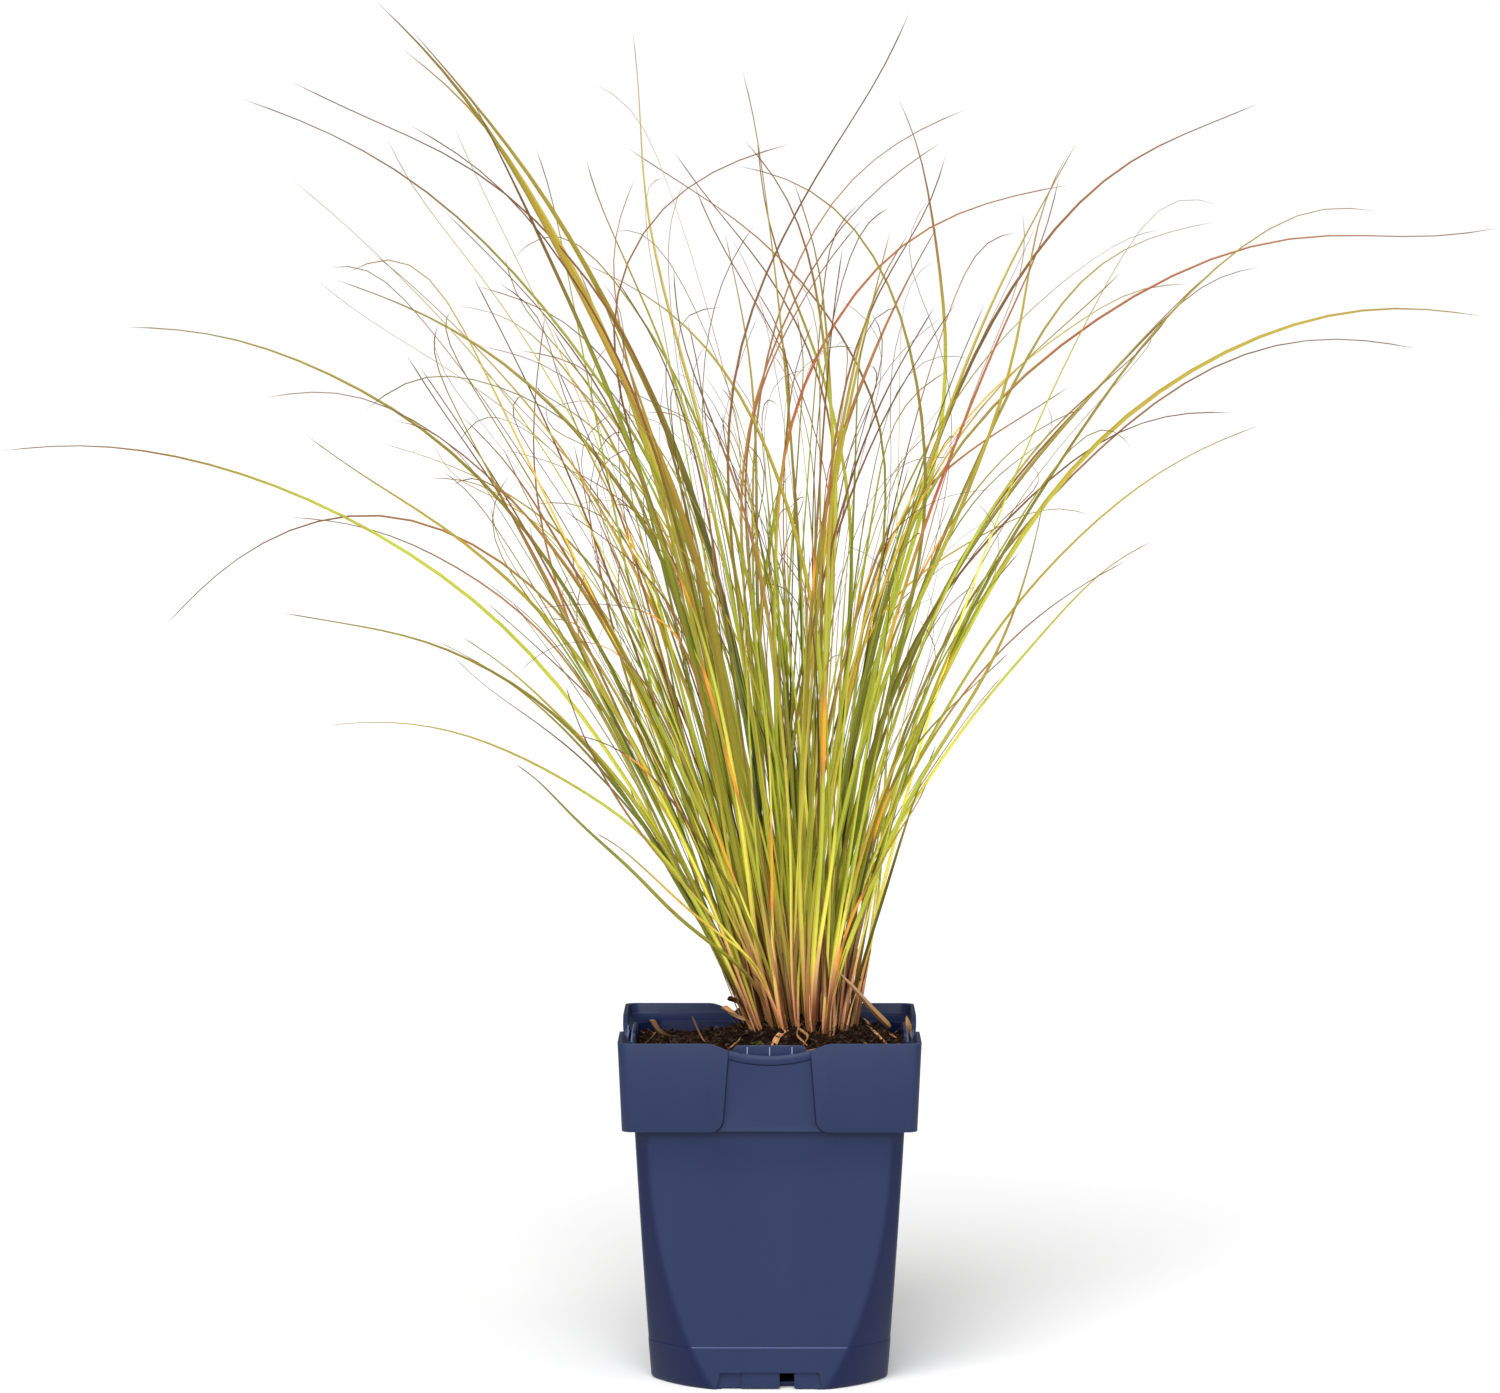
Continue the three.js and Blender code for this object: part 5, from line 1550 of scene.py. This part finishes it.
def paint_highlights(mesh):
    """Keeps the painted edge highlight on the rim, gives it to the ledge and the lips' backs, and gives the
    ribs their own painted highlight.
    """
    x, y, z = np.abs(values_of(mesh.polygons, "center", size=3).T) / MM
    upwards = values_of(mesh.polygons, "normal", size=3)[:, 2]
    areas = values_of(mesh.polygons, "area")
    finish = values_of(mesh.polygons, "material_index", np.int32)
    along, out = np.minimum(x, y), np.maximum(x, y)
    finish[z < HIGHLIGHT_ABOVE] = 0
    on_flat = out > body_half(z) - CREASE_SOFTNESS
    on_ledge = (z > LEDGE_Z - LEDGE_HIGHLIGHT) & (z < LEDGE_Z) & (upwards > LEDGE_UPWARDS)
    finish[on_ledge & on_flat] = 1
    in_slot = (out > SLOT_INNER - RIB_MARGIN) & (out < SLOT_OUTER + RIB_MARGIN) & (z > SLOT_LOW_Z)
    on_rib = np.any([np.abs(along - abs(place)) < RIB_THICK for place in RIB_PLACES], axis=0)
    finish[in_slot & on_rib & (areas < RIB_FACE_AREA)] = 2
    lip_back = (out > SLOT_OUTER + LIP_BACK[0]) & (out < SLOT_OUTER + LIP_BACK[1])
    lip_back &= (along < DIP_ARC_HALF - LIP_BACK_END) & (z > HIGHLIGHT_ABOVE) & (upwards > LIP_BACK_UPWARDS)
    finish[lip_back] = 1
    mesh.polygons.foreach_set("material_index", finish)
    mesh.update()


def rising(values, start, end):
    """0 up to a start, 1 from an end on, and a straight rise between them."""
    return np.clip((values - start) / (end - start), 0, 1)


def paint_shade(mesh):
    """Marks painted shade on the plastic: its round corners, a painted shadow on the wall under the collar,
    and the inside.
    """
    x, y, z = np.abs(points_of(mesh).T) / MM
    along, out = np.minimum(x, y), np.maximum(x, y)
    half, radius = body_half(z), np.array([body_radius(height) for height in z])
    crease = np.sqrt(radius**2 - half**2)
    corner = CORNER_SHADE * rising(along - crease, *CORNER_SHADE_EDGE)
    under = COLLAR_SHADOW * rising(z, *COLLAR_SHADOW_Z)
    inside = (out < half - WALL / 2) & (np.hypot(x, y) < radius - WALL / 2) & (z > BASE_WALL_TOP)
    # The "dark" number is painted shade, deepest at 1.
    paint(mesh, "dark", np.maximum(np.maximum(corner, under) * (z < COLLAR_LOW_Z), inside))


def mould_foot(pot):
    """Gives the pot's foot its notches, base wall, gaps and drains."""
    wall = box_outline(-BASE_WALL_HALF, BASE_WALL_HALF, BASE_WALL_FOOT, BASE_WALL_TOP)
    combine(pot, prism("base_wall", wall, BASE_WALL_PROUD + BASE_WALL_SPARE, BASE_WALL_INNER), "UNION")
    notch = both_halves([(NOTCH_HALF_LOW, -OVERCUT), (NOTCH_HALF_TOP, NOTCH_HEIGHT)])
    set_back_top = NOTCH_HEIGHT - SET_BACK_MARGIN
    set_back = [
        (SET_BACK_MARGIN - NOTCH_HALF_LOW, -OVERCUT), (PROUD_FROM - 1, -OVERCUT),
        (PROUD_FROM, set_back_top), (SET_BACK_MARGIN - NOTCH_HALF_TOP, set_back_top),
    ]
    gap_half = NOTCH_HALF_TOP - FOOT_GAP_MARGIN
    for name, outline, inner in (
        ("notch", notch, BASE_WALL_PROUD),
        ("recess", set_back, BASE_WALL_SET_BACK),
        ("foot_gap", box_outline(-gap_half, gap_half, -OVERCUT, FOOT_GAP), BASE_WALL_INNER),
        ("drain", box_outline(*DRAIN, -OVERCUT, DRAIN_TOP), DRAIN_INNER),
    ):
        combine(pot, prism(name, outline, FOOT_HALF + 2 * OVERCUT, inner), "DIFFERENCE")


def mould_collar(pot):
    """Gives the pot's collar its seams, middle panels, dips, label slots, tabs and lips."""
    outside = COLLAR_HALF + OVERCUT
    slot = box_outline(-SLOT_HALF, SLOT_HALF, SLOT_LOW_Z, POT_HEIGHT + OVERCUT)
    seam = panel_outline()
    panel = panel_outline(SEAM_WIDTH, PANEL_RISE)
    for name, outline, outer, inner, operation in (
        ("seams", seam, outside, below_face(SEAM_FLOOR), "DIFFERENCE"),
        ("panel", panel, below_face(PANEL_RECESS), below_face(SEAM_FLOOR + BITE), "UNION"),
        ("dip", dip_outline(), outside, DIP_INNER, "DIFFERENCE"),
        ("slot", slot, SLOT_OUTER, SLOT_INNER, "DIFFERENCE"),
        ("tab", tab_outline(), SLOT_INNER, SLOT_INNER - WALL, "UNION"),
    ):
        combine(pot, prism(name, outline, outer, inner), operation)
    combine(pot, panel_lip(), "UNION")


def mould_fine_trim(pot):
    """Gives the collar the groove under each lip and the ribs in each label slot."""
    groove = prism("lip_groove", groove_outline(), COLLAR_HALF + OVERCUT, below_face(SEAM_FLOOR))
    combine(pot, groove, "DIFFERENCE")
    for x in RIB_PLACES:
        outline = box_outline(x - RIB_THICK / 2, x + RIB_THICK / 2, RIB_LOW_Z, RIB_TOP)
        rib = prism("rib", outline, lambda z: SLOT_INNER + BITE + (RIB_TOP - z) * RIB_SLOPE,
                    SLOT_INNER - BITE)
        combine(pot, rib, "UNION")


class SEDGE_OT_pot(Operator):
    """Moulds the square pot: skirted collar, dipped rim with lips and label slots, notched foot"""

    bl_idname = "sedge.pot"
    bl_label = "Pot"

    def execute(self, context):
        settings = context.scene.sedge_pot
        pot = closed_skin("nursery_pot", pot_rings())
        pot.data.materials.clear()
        # The plastic, its painted edge highlight and the painted highlight of the ribs.
        for name, base in (("Pot plastic", settings.colour), ("Pot edge", settings.edge_highlight_colour),
                           ("Pot rib", settings.rib_highlight_colour)):
            pot.data.materials.append(plastic_material(settings, name, base))
        mould_foot(pot)
        mould_collar(pot)
        close_up(pot)
        round_edges(pot, settings.edge)
        mould_fine_trim(pot)
        smooth_by_angle(pot, POT_SMOOTHING)
        paint_highlights(pot.data)
        paint_shade(pot.data)
        seat(pot, "pot", "pot")
        return {"FINISHED"}


class SEDGE_OT_soil(Operator):
    """Fills the pot with fibrous soil, crumbs and bark fibres"""

    bl_idname = "sedge.soil"
    bl_label = "Soil"

    def execute(self, context):
        settings = context.scene.sedge_soil
        peat, fibre = tuple(settings.peat), tuple(settings.fibre)
        soil = closed_skin("potting_soil", soil_rings())
        smooth_by_angle(soil, SOIL_SMOOTHING)
        soil.data.materials.clear()
        soil.data.materials.append(peat_material("potting_soil", peat, 0.04))
        seat(soil, "soil", "soil")
        rng = random.Random(SOIL_SEED)
        lump, strand = crumb_template(), fibre_template()
        for name, template, count, place, colour, lift in (
            ("peat_crumbs", lump, settings.crumbs, crumb_place, blend(peat, fibre, 0.3), 0.06),
            ("bark_fibres", strand, settings.fibres, fibre_place, fibre, 0.12),
            ("root_wisps", strand, settings.wisps, wisp_place, tuple(settings.wisp), 0.3),
            ("moss_tuft", lump, MOSS_LEAFLETS, moss_place, tuple(settings.moss), 0.3),
        ):
            bits = scatter(template, count, rng, place, name)
            bits.data.materials.append(peat_material(name, colour, lift))
            seat(bits, "soil")
        discard(lump)
        discard(strand)
        return {"FINISHED"}


class SEDGE_OT_litter(Operator):
    """Lays the dead leaf ends on the soil and against the clump"""

    bl_idname = "sedge.litter"
    bl_label = "Litter"

    def execute(self, context):
        make_leaf_materials(context.scene.sedge_leaves)
        template = blade_template()
        rng = random.Random(LITTER_SEED)
        for name, (rise_first, rise_last, width) in STRAW_LOOKS.items():
            course = straw_course(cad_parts[name], rise_first, rise_last)
            leaf = Leaf(course, width * MM, "straw", rng, LITTER_BROWN, STRAW_TAPER)
            piece = lay_leaf(template, leaf, name.replace("dry_straw", "dead_leaf_end"))
            smooth_by_angle(piece, LEAF_SMOOTHING)
            seat(piece, "dry_straw", name)
        bits = []
        for k, (course, width, tone, taper) in enumerate(LOOSE_BITS):
            leaf = Leaf(metres(course), width * MM, tone, rng, LITTER_BROWN, taper)
            bits.append(lay_leaf(template, leaf, f"bit_{k}"))
        piece = join(bits, "leaning_leaf_ends")
        smooth_by_angle(piece, LEAF_SMOOTHING)
        seat(piece, "dry_straw")
        discard(template)
        return {"FINISHED"}


class SEDGE_OT_leaves(Operator):
    """Lays a folded blade along each blade of the CAD stems, with old threads and husks"""

    bl_idname = "sedge.leaves"
    bl_label = "Leaves"

    def execute(self, context):
        if not STEMS:
            raise RuntimeError("the frame holds no leafy stems")
        settings = context.scene.sedge_leaves
        make_leaf_materials(settings)
        template = blade_template()
        rng = random.Random(LEAF_SEED)
        stems = [stem_of(name) for name in STEMS]
        grown = [stem_leaves(stem, rng) for stem in stems]
        paint_flushes([leaf for leaves in grown for leaf in leaves])
        for number, (stem, leaves) in enumerate(zip(stems, grown)):
            living = list(leaves)
            leaves += [companion(rng.choice(living), rng) for _ in range(settings.companions)]
            for _ in range(settings.threads):
                course = curled_end(thread_course(stem, rng), rng)
                width = rng.uniform(*THREAD_WIDTH) * MM
                leaves.append(Leaf(course, width, "thread", rng, THREAD_BROWN, THREAD_TAPER))
            for _ in range(settings.husks):
                course = husk_course(rng.choice(living), rng, settings.husk_length)
                width, tone = rng.uniform(*HUSK_WIDTH) * MM, rng.choice(HUSK_TONES)
                leaves.append(Leaf(course, width, tone, rng, HUSK_BROWN, HUSK_TAPER))
            for leaf in leaves:
                leaf.width *= settings.widen
            blades = [lay_leaf(template, leaf, f"blade_{k}") for k, leaf in enumerate(leaves)]
            piece = join(blades, f"leaves_{number + 1:02d}")
            smooth_by_angle(piece, LEAF_SMOOTHING)
            seat(piece, LEAF_SLOTS[number % len(LEAF_SLOTS)], stem["name"])
        discard(template)
        return {"FINISHED"}


class SEDGE_OT_stage(Operator):
    """Sets the pale floor, the soft light and the camera"""

    bl_idname = "sedge.stage"
    bl_label = "Stage"

    def execute(self, context):
        settings = context.scene.sedge_stage
        material, tree, shader = new_material("Pale floor")
        set_surface(tree, shader, settings.floor, 0.9, 0.1)
        floor = add_primitive(bpy.ops.mesh.primitive_plane_add, "floor", size=FLOOR_SIZE)
        floor.data.materials.append(material)
        world = bpy.data.worlds.new("Studio")
        context.scene.world = world
        world.use_nodes = True
        tree = world.node_tree
        lighting = tree.nodes["Background"]
        feed(tree, WHITE, lighting.inputs["Color"])
        feed(tree, settings.sky, lighting.inputs["Strength"])
        backdrop = add_node(tree, "ShaderNodeBackground")
        feed(tree, WHITE, backdrop.inputs["Color"])
        path = add_node(tree, "ShaderNodeLightPath")
        either = add_node(tree, "ShaderNodeMixShader")
        feed(tree, path.outputs["Is Camera Ray"], either.inputs[0])
        feed(tree, lighting.outputs[0], either.inputs[1])
        feed(tree, backdrop.outputs[0], either.inputs[2])
        feed(tree, either.outputs[0], tree.nodes["World Output"].inputs["Surface"])
        for name, (place, spread) in LIGHTS.items():
            bpy.ops.object.light_add(type="SUN", location=place)
            light = context.object
            light.name = name
            light.data.energy = getattr(settings, name)
            light.data.angle = math.radians(spread)
            light.rotation_euler = (-light.location).to_track_quat("-Z", "Y").to_euler()
        bpy.ops.object.camera_add(location=EYE, rotation=(CAMERA_PITCH, 0, CAMERA_YAW))
        camera = context.object
        camera.data.lens = CAMERA_LENS
        camera.data.sensor_width = CAMERA_SENSOR
        context.scene.camera = camera
        context.scene.view_settings.view_transform = "Standard"
        return {"FINISHED"}


class SEDGE_PT_panel(Panel):
    """Lists the pieces of the plant"""

    bl_idname = "SEDGE_PT_panel"
    bl_label = "Sedge"
    bl_space_type = "VIEW_3D"
    bl_region_type = "UI"
    bl_category = "Sedge"

    def draw(self, context):
        for operator in OPERATORS:
            self.layout.operator(operator.bl_idname)
        for group in SETTINGS:
            box = self.layout.box()
            settings = getattr(context.scene, group)
            for name in settings.bl_rna.properties.keys():
                if name not in ("rna_type", "name"):
                    box.prop(settings, name)


OPERATORS = (SEDGE_OT_stage, SEDGE_OT_pot, SEDGE_OT_soil, SEDGE_OT_litter, SEDGE_OT_leaves)
SETTINGS = {
    "sedge_leaves": SEDGE_PG_leaves,
    "sedge_pot": SEDGE_PG_pot,
    "sedge_soil": SEDGE_PG_soil,
    "sedge_stage": SEDGE_PG_stage,
}


def register():
    """Makes the settings, the operators and the panel known."""
    for kind in (*SETTINGS.values(), *OPERATORS, SEDGE_PT_panel):
        bpy.utils.register_class(kind)
    for name, group in SETTINGS.items():
        setattr(bpy.types.Scene, name, PointerProperty(type=group))


def unregister():
    """Removes what register added."""
    for name in SETTINGS:
        delattr(bpy.types.Scene, name)
    for kind in reversed((*SETTINGS.values(), *OPERATORS, SEDGE_PT_panel)):
        bpy.utils.unregister_class(kind)


def main():
    """Builds the whole scene."""
    register()
    for operator in OPERATORS:
        group, name = operator.bl_idname.split(".")
        getattr(getattr(bpy.ops, group), name)()


if __name__ == "__main__":
    main()
